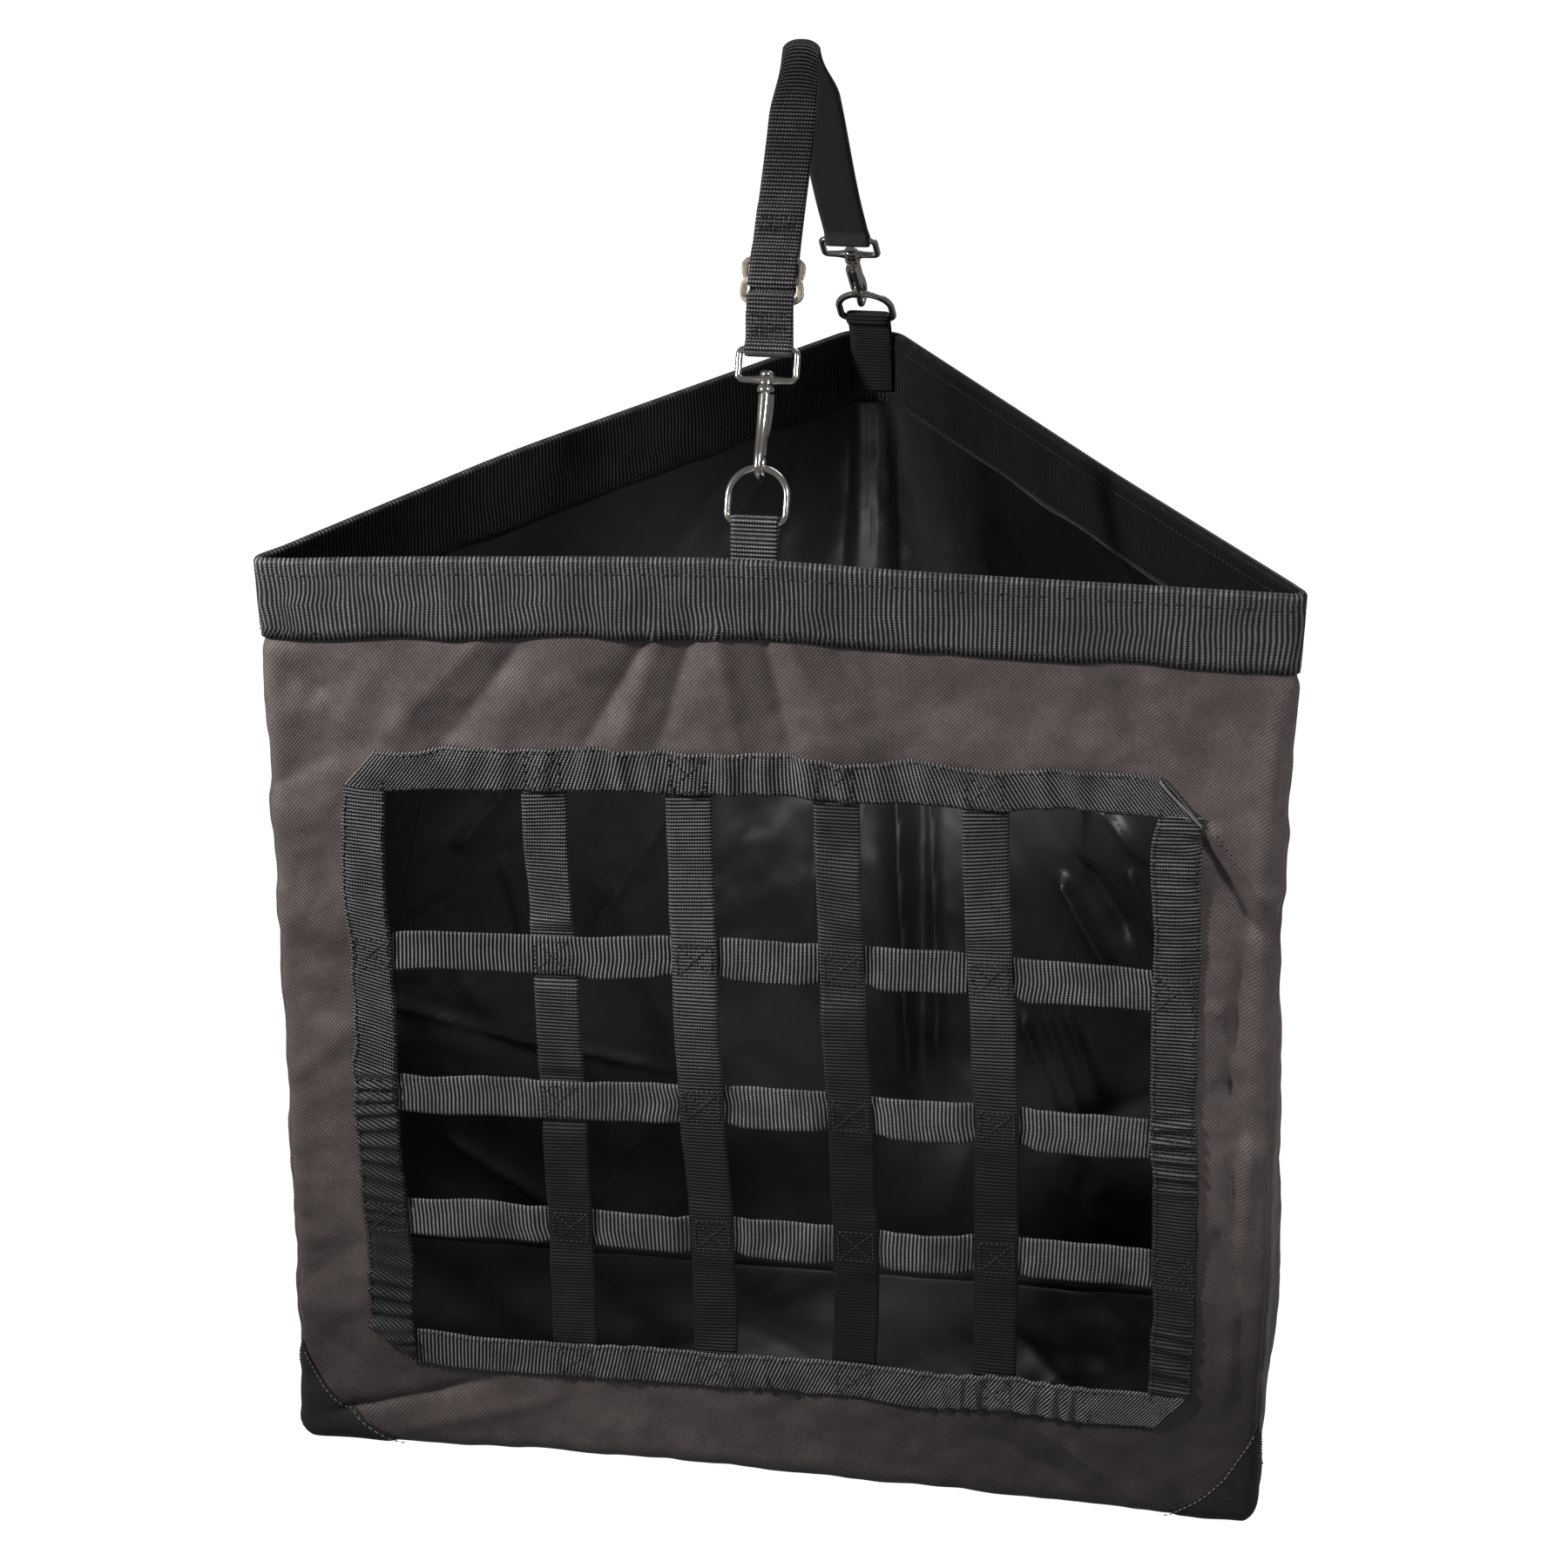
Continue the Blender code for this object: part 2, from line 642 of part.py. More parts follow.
def build_tab(chain, group):
    """Webbing loop round the ring bar; its two leaves lie inside the binding."""
    inner = RING_WIRE / 2 + LOOP + WEB_THICK / 2
    leaf = WEB_THICK / 2 + GAP / 2
    # both leaves lie inside the binding; their depths are from the panel's inner face
    inside = -(GAP + BINDING_THICK + GAP) - GAP
    near = inside - leaf
    far = inside - 3 * leaf
    panel_out = OUT if chain.word == "front" else Vector((0.0, -OUT.y, -OUT.z))

    def on_panel(s, depth):
        place = chain.mouth - chain.bar + DOWN * s + panel_out * depth
        return (place.dot(chain.up), place.dot(chain.out))

    path = [on_panel(TAB_TAIL, near), on_panel(TAB_BEND, near), (-TAB_PINCH, leaf)]
    wrap = arc((0.0, 0.0), inner, math.radians(-48), math.radians(228), 10)
    path += [(along, out) for out, along in wrap]
    path += [(-TAB_PINCH, -leaf), on_panel(TAB_BEND, far), on_panel(TAB_TAIL, far)]
    name = chain.word + "_ring_tab"
    ribbon(name, path, WEBBING / 2, chain.at, webbing(name), group)


def build_eye(chain, group):
    """Rectangular swivel eye with a bored boss in its lower bar."""
    half = (EYE_WIDTH - EYE_WIRE) / 2
    side, low, high = half - EYE_CORNER, EYE_LOW + EYE_CORNER, EYE_BAR - EYE_CORNER
    outline = []
    for cx, cy, start in ((side, low, -90), (side, high, 0), (-side, high, 90), (-side, low, 180)):
        outline += arc((cx, cy), EYE_CORNER, math.radians(start), math.radians(start + 90), 3)
    points = [chain.at(x, a, 0.0) for x, a in outline]
    name = chain.word + "_snap_eye"
    obj = wire(name, points, [EYE_WIRE / 2] * len(points), True, nickel(name), group)
    middle = chain.at(0, EYE_LOW, 0)
    boss = cylinder("boss", middle, chain.up, BOSS_RADIUS, BOSS_HEIGHT, None, group, 20)
    boolean(obj, boss, "UNION")
    bore = cylinder("bore", middle, chain.up, BORE_RADIUS, 2.4 * BOSS_HEIGHT, None, group)
    boolean(obj, bore, "DIFFERENCE")
    finish_cast(obj, name)


def build_hook(chain, group):
    """Cast snap body: stud with its head, collar, tapered spine, hook and bolt barrel."""
    name = chain.word + "_snap_hook"
    low = HOOK_LOW + HOOK_WIRE + HOOK_BEND
    path = list(SPINE)
    for out, along in arc((0.0, low), HOOK_BEND, 0.0, -math.pi, 10):
        share = (HOOK_BEND - out) / (2 * HOOK_BEND)
        path.append((out, along, HOOK_WIRE + (TIP_WIRE - HOOK_WIRE) * share))
    path.append((-HOOK_BEND, low + TIP_STRAIGHT, TIP_WIRE))
    path.append((-HOOK_BEND, low + TIP_RISE, TIP_POINT))
    points = [chain.at(0, along, out) for out, along, radius in path]
    radii = [radius for out, along, radius in path]
    obj = wire(name, points, radii, False, nickel(name), group)
    middle = (BARREL_LOW + BARREL_HIGH) / 2
    barrel = chain.at(0, middle, BOLT_OUT + BARREL_SHIFT)
    stud_radii = (STUD_RADIUS, STUD_RADIUS)
    for centre, length, radii in (
            (barrel, BARREL_HIGH - BARREL_LOW, BARREL_RADII),
            (chain.at(0, EYE_LOW - COLLAR_DROP, 0), COLLAR_HEIGHT, COLLAR_RADII),
            (chain.at(0, EYE_LOW, 0), STUD_LENGTH, stud_radii),
            (chain.at(0, EYE_LOW + HEAD_RISE, 0), HEAD_HEIGHT, HEAD_RADII)):
        lump = cylinder("lump", centre, chain.up, radii[0], length, None, group,
                        radius_end=radii[1])
        boolean(obj, lump, "UNION")
    bore_at = chain.at(0, BARREL_LOW + BORE_DEPTH / 2 - BORE_OVER, BOLT_OUT)
    bore = cylinder("bore", bore_at, chain.up, BOLT_RADIUS + BOLT_GAP,
                    BORE_DEPTH + 2 * BORE_OVER, None, group)
    boolean(obj, bore, "DIFFERENCE")
    slot_at = chain.at(0, BARREL_LOW + THUMB_SLOT_RISE, BOLT_OUT + THUMB_SLOT_OUT)
    axes = (Vector((1, 0, 0)), chain.up, chain.out)
    slot = block("slot", slot_at, axes, THUMB_SLOT, None, group)
    boolean(obj, slot, "DIFFERENCE")
    finish_cast(obj, name)


def finish_cast(obj, name):
    obj.data.materials.clear()
    obj.data.materials.append(nickel(name))
    smooth(obj)


def build_bolt(chain, group):
    """Sliding bolt with its thumb knob, closed on the tip of the hook."""
    name = chain.word + "_snap_bolt"
    tip = HOOK_LOW + HOOK_WIRE + HOOK_BEND + TIP_RISE + TIP_GAP
    rear = BARREL_LOW + BOLT_LENGTH_IN
    knob_at = BARREL_LOW + KNOB_RISE
    obj = cylinder(name, chain.at(0, (tip + rear) / 2, BOLT_OUT), chain.up, BOLT_RADIUS,
                   rear - tip, nickel(name), group)
    stem = cylinder("stem", chain.at(0, knob_at, BOLT_OUT + STEM_OUT), -chain.out,
                    STEM_RADIUS, STEM_LENGTH, None, group, 12)
    boolean(obj, stem, "UNION")
    knob = cylinder("knob", chain.at(0, knob_at, BOLT_OUT + KNOB_OUT), -chain.out,
                    KNOB_RADII[0], KNOB_HEIGHT, None, group, 14, KNOB_RADII[1])
    boolean(obj, knob, "UNION")
    finish_cast(obj, name)


def rounded_slot(half, low, high, corner):
    """Outline of a slot with rounded corners."""
    side, under, over = half - corner, low + corner, high - corner
    outline = []
    for cx, cy, start in ((side, under, -90), (side, over, 0), (-side, over, 90),
                          (-side, under, 180)):
        outline += arc((cx, cy), corner, math.radians(start), math.radians(start + 90), 3)
    return outline


def build_adjuster(chain, group):
    """Stamped figure-eight slide with an upper and a lower slot."""
    def edge(along):
        """Half width of the plate at a height on it: two lobes and rounded ends."""
        lobe = math.sin(math.pi * abs(along) / SLIDE_HALF)
        round_end = max(abs(along) - (SLIDE_HALF - SLIDE_CORNER), 0.0)
        cut = SLIDE_CORNER - math.sqrt(max(SLIDE_CORNER ** 2 - round_end ** 2, 0.0))
        return SLIDE_WAIST + SLIDE_LOBE * lobe - cut

    heights = [SLIDE_HALF * math.sin(math.radians(t)) for t in range(-90, 91, 9)]
    outline = [(edge(a), a) for a in heights] + [(-edge(a), a) for a in reversed(heights)]
    curve = bpy.data.curves.new("adjuster_slide", "CURVE")
    curve.dimensions = "2D"
    curve.fill_mode = "BOTH"
    curve.extrude = SLIDE_THICK / 2
    loops = [outline]
    for low, high in ((BAR / 2, SLIDE_HALF - BAR), (-SLIDE_HALF + BAR, -BAR / 2)):
        loops.append(rounded_slot(SLOT_HALF, low, high, SLOT_CORNER))
    for points in loops:
        line = curve.splines.new("POLY")
        line.points.add(len(points) - 1)
        for target, (x, a) in zip(line.points, points):
            target.co = (x, a, 0.0, 1.0)
        line.use_cyclic_u = True
    guide = bpy.data.objects.new("adjuster_guide", curve)
    group.objects.link(guide)
    bpy.context.view_layer.update()
    deps = bpy.context.evaluated_depsgraph_get()
    mesh = bpy.data.meshes.new_from_object(guide.evaluated_get(deps))
    bpy.data.objects.remove(guide, do_unlink=True)
    bm = bmesh.new()
    bm.from_mesh(mesh)
    bmesh.ops.remove_doubles(bm, verts=bm.verts, dist=0.00001)
    turn = Matrix((Vector((1, 0, 0)), chain.up, chain.out)).transposed().to_4x4()
    bm.transform(Matrix.Translation(chain.at(0, SLIDE_AT, SLIDE_OUT)) @ turn)
    bmesh.ops.recalc_face_normals(bm, faces=bm.faces)
    bm.to_mesh(mesh)
    bm.free()
    add_object("adjuster_slide", mesh, dull_steel("adjuster_slide"), group)


# --------------------------------------------------------------------- strap
INNER = -LINE_STAND + WEB_THICK / 2      # middle of the inner layer, out from the line of pull
OUTER = INNER + WEB_THICK + GAP
SLIDE_OUT = OUTER + WEB_THICK / 2 + LOOP + SLIDE_THICK / 2


def round_bar(along, out, radius, start, end, steps):
    """Arc of (along, out) round a bar, in degrees: 0 points outwards and 90 up the run."""
    return [(a, o) for o, a in arc((out, along), radius, math.radians(start), math.radians(end),
                                   steps)]


def over_hook(radius, start, end, steps):
    """World (y, z) of the strap's bend; 0 degrees points to the back and 90 up."""
    return arc((0.0, -HOOK_RADIUS), radius, start, end, steps)


def build_strap(front, back, group):
    """One webbing strap, sewn at the front eye and round the adjuster's centre bar.

    From its end at the adjuster it runs up over the hook as the outer layer, round the
    back eye, up over the hook again as the inner layer, down through the adjuster and
    round the front eye, where its other end is sewn down.
    """
    wrap = SLIDE_THICK / 2 + LOOP + WEB_THICK / 2
    around = EYE_WIRE / 2 + LOOP + WEB_THICK / 2
    high = SLIDE_OUT + wrap
    lift = OUTER + WEB_THICK + GAP
    wrap_at = SLIDE_AT - BAR / 2 + SLIDE_THICK / 2 - GAP
    up = [(SEWN_TO, OUTER), (SLIDE_AT + SLIDE_HALF, OUTER)]
    up += round_bar(wrap_at, SLIDE_OUT, wrap, 180, 360, 8)
    slide_top = SLIDE_AT + SLIDE_HALF
    up += [(slide_top + LAP_END, high), (slide_top + LIFT_END, lift),
           (SEWN_TO + LAP_END, lift), (SEWN_TO + SEWN_STEP, OUTER)]
    down = [(SLIDE_AT - DIP_IN, INNER), (SLIDE_AT - DIP_OUT, high),
            (SLIDE_AT - SLIDE_HALF - LAP_END, high)]
    # the leg below the adjuster slants to the far side of the eye's bar
    down += round_bar(EYE_BAR, 0.0, around, LOWER_LEG[0], LOWER_LEG[1], 10)
    down += [(EYE_BAR + rise, out) for rise, out in LOWER_RISE]
    bight = [(EYE_BAR + BIGHT_RISE, OUTER)]
    bight += round_bar(EYE_BAR, 0.0, around, BIGHT_TURN[0], BIGHT_TURN[1], 10)
    bight += [(EYE_BAR + BIGHT_RISE, INNER)]

    def world(chain, pairs):
        return [(p.y, p.z) for p in (chain.at(0.0, a, o) for a, o in pairs)]

    front_angle = math.atan2(front.out.z, front.out.y)
    back_angle = math.atan2(back.out.z, back.out.y)
    bend_in = HOOK_RADIUS + WEB_THICK / 2
    bend_out = bend_in + WEB_THICK + GAP
    path = world(front, up)
    path += over_hook(bend_out, front_angle, back_angle, 12)
    path += world(back, bight)
    path += over_hook(bend_in, back_angle, front_angle, 12)
    path += world(front, down)
    ribbon("hanging_strap", path, WEBBING / 2, lambda x, y, z: Vector((x, y, z)),
           webbing("hanging_strap"), group)


def main():
    clear_scene()
    parts = new_collection("hay_bag")
    build_front(parts)
    build_sides(parts)
    build_bottom(parts)
    build_binding(parts)
    build_frame(parts)
    build_grid(parts)
    build_patches(parts)
    chains = {word: Chain(word) for word in ("front", "back")}
    for chain in chains.values():
        build_ring(chain, parts)
        build_tab(chain, parts)
        build_eye(chain, parts)
        build_hook(chain, parts)
        build_bolt(chain, parts)
    build_adjuster(chains["front"], parts)
    build_strap(chains["front"], chains["back"], parts)


main()
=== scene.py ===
"""Looks of the hanging hay bag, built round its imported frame. Metres, +Z up.

The bag's wall is one surface over (w, s): w runs round the mouth from the middle of the
front, s runs down from the mouth edge.  Every piece of cloth and webbing is laid on it.
"""

import math

import bmesh
import bpy
import numpy as np
from mathutils import Matrix, Vector

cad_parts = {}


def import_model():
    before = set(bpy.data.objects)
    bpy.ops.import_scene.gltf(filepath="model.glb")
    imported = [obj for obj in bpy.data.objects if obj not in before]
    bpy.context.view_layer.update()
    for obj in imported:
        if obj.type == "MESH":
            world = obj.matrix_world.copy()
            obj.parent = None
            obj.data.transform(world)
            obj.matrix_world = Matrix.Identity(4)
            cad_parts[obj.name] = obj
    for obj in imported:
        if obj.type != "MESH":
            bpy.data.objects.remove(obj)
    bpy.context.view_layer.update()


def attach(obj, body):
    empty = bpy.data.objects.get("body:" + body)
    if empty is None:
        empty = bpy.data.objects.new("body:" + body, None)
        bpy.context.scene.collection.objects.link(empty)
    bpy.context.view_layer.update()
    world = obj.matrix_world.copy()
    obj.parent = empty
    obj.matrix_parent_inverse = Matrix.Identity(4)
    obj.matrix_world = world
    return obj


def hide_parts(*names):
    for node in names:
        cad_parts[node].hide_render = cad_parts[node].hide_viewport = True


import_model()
RNG = np.random.default_rng(11)

# ---------------------------------------------------- dimensions of the frame
GAP = 0.0003
BAG_WIDTH = 0.560
BAG_HEIGHT = 0.600
MOUTH_Y, MOUTH_Z = -0.120, -0.255
FRONT_TILT = math.radians(9.9)
MOUTH_DEPTH = 0.372
MOUTH_RISE = math.radians(6.2)
BOTTOM_RISE = math.radians(16.0)
BACK_FLAT = 0.014
REACH = BAG_WIDTH / 2 - BACK_FLAT
GUSSET = math.hypot(REACH, MOUTH_DEPTH) - REACH
FABRIC = 0.0015
WEBBING, WEB_THICK = 0.0254, 0.0017
STRIP_END = 0.0105
WINDOW_HALF, WINDOW_TOP, WINDOW_BOTTOM = 0.213, 0.1385, 0.5125
COLUMN_PITCH = 0.0813
ROW_AT = (0.2465, 0.3425, 0.4305)
CORNER_CUT = 0.021
BINDING, BINDING_THICK = 0.042, 0.0017
TAB_RISE, TAB_TAIL = 0.0216, 0.036
PATCH, PATCH_RISE = 0.058, 0.070
HOOK_RADIUS, LINE_STAND = 0.009, 0.001
RING_WIRE, RING_WIDTH, RING_TOP = 0.0040, 0.0355, 0.029
HOOK_LOW, EYE_LOW, EYE_BAR = 0.0213, 0.0760, 0.0925
EYE_WIRE, EYE_WIDTH = 0.0037, 0.0350
SLIDE_AT, SLIDE_HALF, SLIDE_THICK = 0.1290, 0.0128, 0.0020
SLIDE_WAIST, SLIDE_LOBE, SLIDE_CORNER, SLOT_HALF = 0.0160, 0.0014, 0.0050, 0.0134
SEWN_TO, BAR, LOOP = 0.1660, 0.0032, 0.00045
HOOK_BEND, HOOK_WIRE, TIP_RISE = 0.0062, 0.0023, 0.0060
BARREL_LOW, BOLT_OUT, BOLT_RADIUS = 0.0465, -0.0060, 0.0018

HALF = BAG_WIDTH / 2
LENS_MM = 101.2
CAMERA_AT = (0.4433, -2.3182, 0.3764)
CAMERA_TURN, CAMERA_DIP, CAMERA_ROLL = 10.987, 18.598, -0.168
DOWN = np.array((0.0, math.sin(FRONT_TILT), -math.cos(FRONT_TILT)))
OUT = np.array((0.0, -math.cos(FRONT_TILT), -math.sin(FRONT_TILT)))
MOUTH = np.array((0.0, MOUTH_Y, MOUTH_Z))


# ------------------------------------------------------------------- helpers
def ease(t):
    t = np.clip(t, 0.0, 1.0)
    return t * t * (3.0 - 2.0 * t)


def unit(v):
    return v / np.maximum(np.linalg.norm(v, axis=-1, keepdims=True), 1e-12)


def lattice(x, y, cell, seed):
    """Smooth random field between -1 and 1 with features of about one cell."""
    rng = np.random.default_rng(seed)
    table = rng.uniform(-1.0, 1.0, (256, 256))
    fx, fy = x / cell + 64.0, y / cell + 64.0
    ix, iy = np.floor(fx).astype(int), np.floor(fy).astype(int)
    tx, ty = ease(fx - ix), ease(fy - iy)
    a = table[ix % 256, iy % 256] * (1 - tx) + table[(ix + 1) % 256, iy % 256] * tx
    b = table[ix % 256, (iy + 1) % 256] * (1 - tx) + table[(ix + 1) % 256, (iy + 1) % 256] * tx
    return a * (1 - ty) + b * ty


def rough(x, y, cell, seed, octaves=3):
    total = 0.0
    for k in range(octaves):
        total = total + lattice(x, y, cell / 2 ** k, seed + k) * 0.55 ** k
    return total


def fold(w, s, line, height, width, spread=None, sharp=0.15):
    """Crease from (w0, s0) to (w1, s1), widening to spread; it fades at both ends."""
    (w0, s0), (w1, s1) = line
    dw, ds = w1 - w0, s1 - s0
    length = math.hypot(dw, ds)
    t = ((w - w0) * dw + (s - s0) * ds) / length ** 2
    d = ((w - w0) * ds - (s - s0) * dw) / length
    size = width + ((spread or width) - width) * np.clip(t, 0, 1)
    soft = sharp * size
    body = np.exp(-(np.sqrt(d * d + soft * soft) - soft) / (0.6 * size))
    fade = ease(t / 0.18 + 0.35) * ease((1.0 - t) / 0.30 + 0.1)
    return height * body * np.where((t > -0.3) & (t < 1.2), fade, 0.0)


# ----------------------------------------------------------- shape of the bag
def section(s):
    """Corners of the bag's plan, right half, at depth s: front, gusset, back crease."""
    below = ease((s - BINDING) / (BAG_HEIGHT - BINDING))
    depth = MOUTH_DEPTH + (GUSSET - MOUTH_DEPTH) * below
    rise = MOUTH_RISE + (BOTTOM_RISE - MOUTH_RISE) * below
    base = np.hypot(REACH, depth)
    along = (GUSSET ** 2 - REACH ** 2 + base ** 2) / (2 * base)
    bulge = np.sqrt(np.maximum(GUSSET ** 2 - along ** 2, 0.0))
    start = MOUTH + DOWN * s[..., None]

    def at(x, d):
        lean = np.stack((np.zeros_like(rise), np.cos(rise), np.sin(rise)), -1)
        return start + lean * np.asarray(d)[..., None] + np.stack(
            (x, np.zeros_like(rise), np.zeros_like(rise)), -1)

    flat = np.zeros_like(rise)
    corner_x = HALF - REACH / base * along + depth / base * bulge
    corner_d = depth / base * along + REACH / base * bulge
    return at(flat + HALF, flat), at(corner_x, corner_d), at(flat + BACK_FLAT, depth)


ROUND = (HALF + GUSSET, HALF + GUSSET + REACH, HALF + GUSSET + REACH + BACK_FLAT)
LAST = ROUND[2]
STEP_W, STEP_S = 0.001, 0.002
W_AXIS = np.arange(-LAST - 0.02, LAST + 0.02 + STEP_W / 2, STEP_W)
S_AXIS = np.arange(-0.006, BAG_HEIGHT + 0.008, STEP_S)
CORNER_ROUND = 0.007


def plain_wall():
    """The wall over the axes, its plan's corners rounded by averaging along w."""
    a, b, c = section(S_AXIS)
    mirror = np.array((-1.0, 1.0, 1.0))
    middle = c * np.array((0.0, 1.0, 1.0))
    knots = [-LAST, -ROUND[1], -ROUND[0], -HALF, HALF, ROUND[0], ROUND[1], LAST]
    corners = [middle, c * mirror, b * mirror, a * mirror, a, b, c, middle]
    shifts = np.linspace(-CORNER_ROUND, CORNER_ROUND, 9)
    total = 0.0
    for shift in shifts:
        w = (W_AXIS + shift + LAST) % (2 * LAST) - LAST
        j = np.clip(np.searchsorted(knots, w, side="right") - 1, 0, len(knots) - 2)
        lo, hi = np.take(knots, j), np.take(knots, j + 1)
        t = ((w - lo) / (hi - lo))[None, :, None]
        stack = np.stack(corners, 1)
        total = total + stack[:, j] * (1 - t) + stack[:, j + 1] * t
    return total / len(shifts)


def mirrored(line):
    return [(-w, s) for w, s in line]


# each fold: ends (w, s), height, width at its start and end
FRONT_FOLDS = [
    (((-0.020, 0.036), (-0.012, 0.128)), 0.0020, 0.009, 0.016),
    (((-0.034, 0.040), (-0.060, 0.126)), -0.0019, 0.008, 0.017),
    (((-0.058, 0.044), (-0.108, 0.128)), -0.0027, 0.009, 0.017),
    (((-0.052, 0.040), (-0.083, 0.124)), 0.0017, 0.009, 0.018),
    (((-0.128, 0.046), (-0.190, 0.126)), -0.0024, 0.012, 0.020),
    (((-0.150, 0.044), (-0.225, 0.118)), 0.0014, 0.010, 0.018),
    (((-0.268, 0.060), (-0.205, 0.118)), -0.0012, 0.009, 0.014),
    (((-0.262, 0.074), (-0.222, 0.112)), 0.0011, 0.006, 0.010),
    (((0.004, 0.038), (0.020, 0.128)), -0.0020, 0.007, 0.014),
    (((0.016, 0.040), (0.052, 0.126)), 0.0016, 0.008, 0.016),
    (((0.040, 0.046), (0.092, 0.122)), -0.0014, 0.009, 0.018),
    (((0.070, 0.046), (0.140, 0.118)), 0.0011, 0.010, 0.018),
    (((0.206, 0.050), (0.232, 0.128)), 0.0018, 0.007, 0.012),
    (((0.190, 0.056), (0.212, 0.122)), -0.0012, 0.009, 0.014),
    (((0.236, 0.148), (0.276, 0.215)), -0.0042, 0.007, 0.012),
    (((0.243, 0.140), (0.279, 0.190)), 0.0030, 0.006, 0.010),
    (((0.272, 0.060), (0.268, 0.330)), 0.0026, 0.006, 0.010),
    (((0.262, 0.215), (0.252, 0.330)), -0.0028, 0.007, 0.012),
    (((0.246, 0.250), (0.262, 0.300)), 0.0024, 0.005, 0.008),
    (((0.268, 0.330), (0.258, 0.545)), 0.0030, 0.007, 0.011),
    (((0.258, 0.350), (0.266, 0.500)), -0.0028, 0.006, 0.009),
    (((0.250, 0.300), (0.270, 0.345)), -0.0026, 0.005, 0.009),
    (((0.248, 0.400), (0.268, 0.450)), -0.0024, 0.005, 0.009),
    (((0.150, 0.548), (0.222, 0.602)), 0.0026, 0.006, 0.013),
    (((0.120, 0.556), (0.196, 0.600)), -0.0016, 0.008, 0.014),
    (((-0.262, 0.582), (-0.165, 0.545)), -0.0032, 0.006, 0.010),
    (((-0.230, 0.590), (-0.120, 0.552)), 0.0016, 0.010, 0.014),
    (((-0.280, 0.510), (-0.230, 0.560)), -0.0014, 0.010, 0.016),
    (((-0.282, 0.490), (-0.236, 0.445)), -0.0011, 0.012, 0.018),
    (((-0.284, 0.140), (-0.236, 0.112)), -0.0014, 0.011, 0.018),
    (((-0.282, 0.205), (-0.236, 0.250)), 0.0012, 0.012, 0.018),
    (((-0.280, 0.340), (-0.236, 0.295)), 0.0012, 0.012, 0.017),
]
SIDE_FOLDS = [
    (((0.330, 0.050), (0.345, 0.480)), -0.0050, 0.020, 0.030),
    (((0.300, 0.120), (0.312, 0.560)), 0.0040, 0.016, 0.020),
    (((0.395, 0.060), (0.372, 0.560)), 0.0040, 0.020, 0.030),
    (((0.440, 0.090), (0.430, 0.420)), -0.0030, 0.014, 0.022),
    (((0.300, 0.430), (0.420, 0.590)), -0.0028, 0.012, 0.018),
    (((0.460, 0.400), (0.340, 0.590)), 0.0024, 0.012, 0.018),
    (((0.292, 0.200), (0.330, 0.260)), -0.0022, 0.009, 0.014),
]
BACK_FOLDS = [
    (((0.735, 0.045), (0.722, 0.430)), -0.0042, 0.007, 0.011),
    (((0.700, 0.050), (0.640, 0.400)), 0.0038, 0.012, 0.026),
    (((0.672, 0.050), (0.560, 0.330)), -0.0036, 0.012, 0.024),
    (((0.640, 0.060), (0.520, 0.250)), 0.0030, 0.012, 0.024),
    (((0.600, 0.340), (0.690, 0.560)), -0.0044, 0.014, 0.022),
    (((0.520, 0.300), (0.610, 0.570)), 0.0036, 0.014, 0.024),
    (((0.500, 0.180), (0.560, 0.420)), -0.0032, 0.012, 0.020),
    (((0.490, 0.420), (0.650, 0.520)), 0.0034, 0.012, 0.020),
    (((0.710, 0.420), (0.560, 0.590)), -0.0036, 0.010, 0.020),
    (((0.535, 0.090), (0.575, 0.300)), 0.0046, 0.010, 0.016),
    (((0.560, 0.110), (0.610, 0.290)), -0.0044, 0.009, 0.015),
    (((0.505, 0.120), (0.520, 0.260)), -0.0036, 0.009, 0.014),
]
# creases seen through the window; these have no mirrored twin
LONE_FOLDS = [
    (((0.7260, 0.262), (0.7090, 0.485)), -0.0090, 0.0050, 0.0060),
    (((0.7150, 0.262), (0.7010, 0.485)), 0.0090, 0.0050, 0.0055),
    (((0.7030, 0.262), (0.6880, 0.485)), -0.0085, 0.0050, 0.0065),
    (((0.584, 0.255), (0.596, 0.318)), -0.0080, 0.0065, 0.0090),
    (((0.610, 0.318), (0.570, 0.384)), -0.0105, 0.0070, 0.0100),
    (((0.598, 0.300), (0.560, 0.356)), 0.0075, 0.0060, 0.0090),
    (((0.576, 0.262), (0.544, 0.294)), -0.0055, 0.0055, 0.0080),
    (((0.560, 0.300), (0.540, 0.350)), -0.0050, 0.0060, 0.0080),
    (((0.636, 0.415), (0.606, 0.494)), -0.0050, 0.0045, 0.0070),
    (((0.622, 0.410), (0.594, 0.486)), -0.0052, 0.0042, 0.0070),
    (((0.608, 0.406), (0.582, 0.474)), -0.0048, 0.0042, 0.0065),
    (((-0.455, 0.413), (-0.560, 0.454)), -0.0036, 0.0032, 0.0032),
    (((-0.545, 0.449), (-0.650, 0.470)), -0.0036, 0.0032, 0.0032),
    (((-0.590, 0.370), (-0.645, 0.270)), -0.0040, 0.0090, 0.0160),
    (((-0.500, 0.300), (-0.540, 0.230)), -0.0036, 0.0100, 0.0180),
    (((-0.500, 0.520), (-0.590, 0.585)), -0.0040, 0.0070, 0.0120),
]


FOLD_GAIN = 1.6        # the front's folds stand this much higher than listed


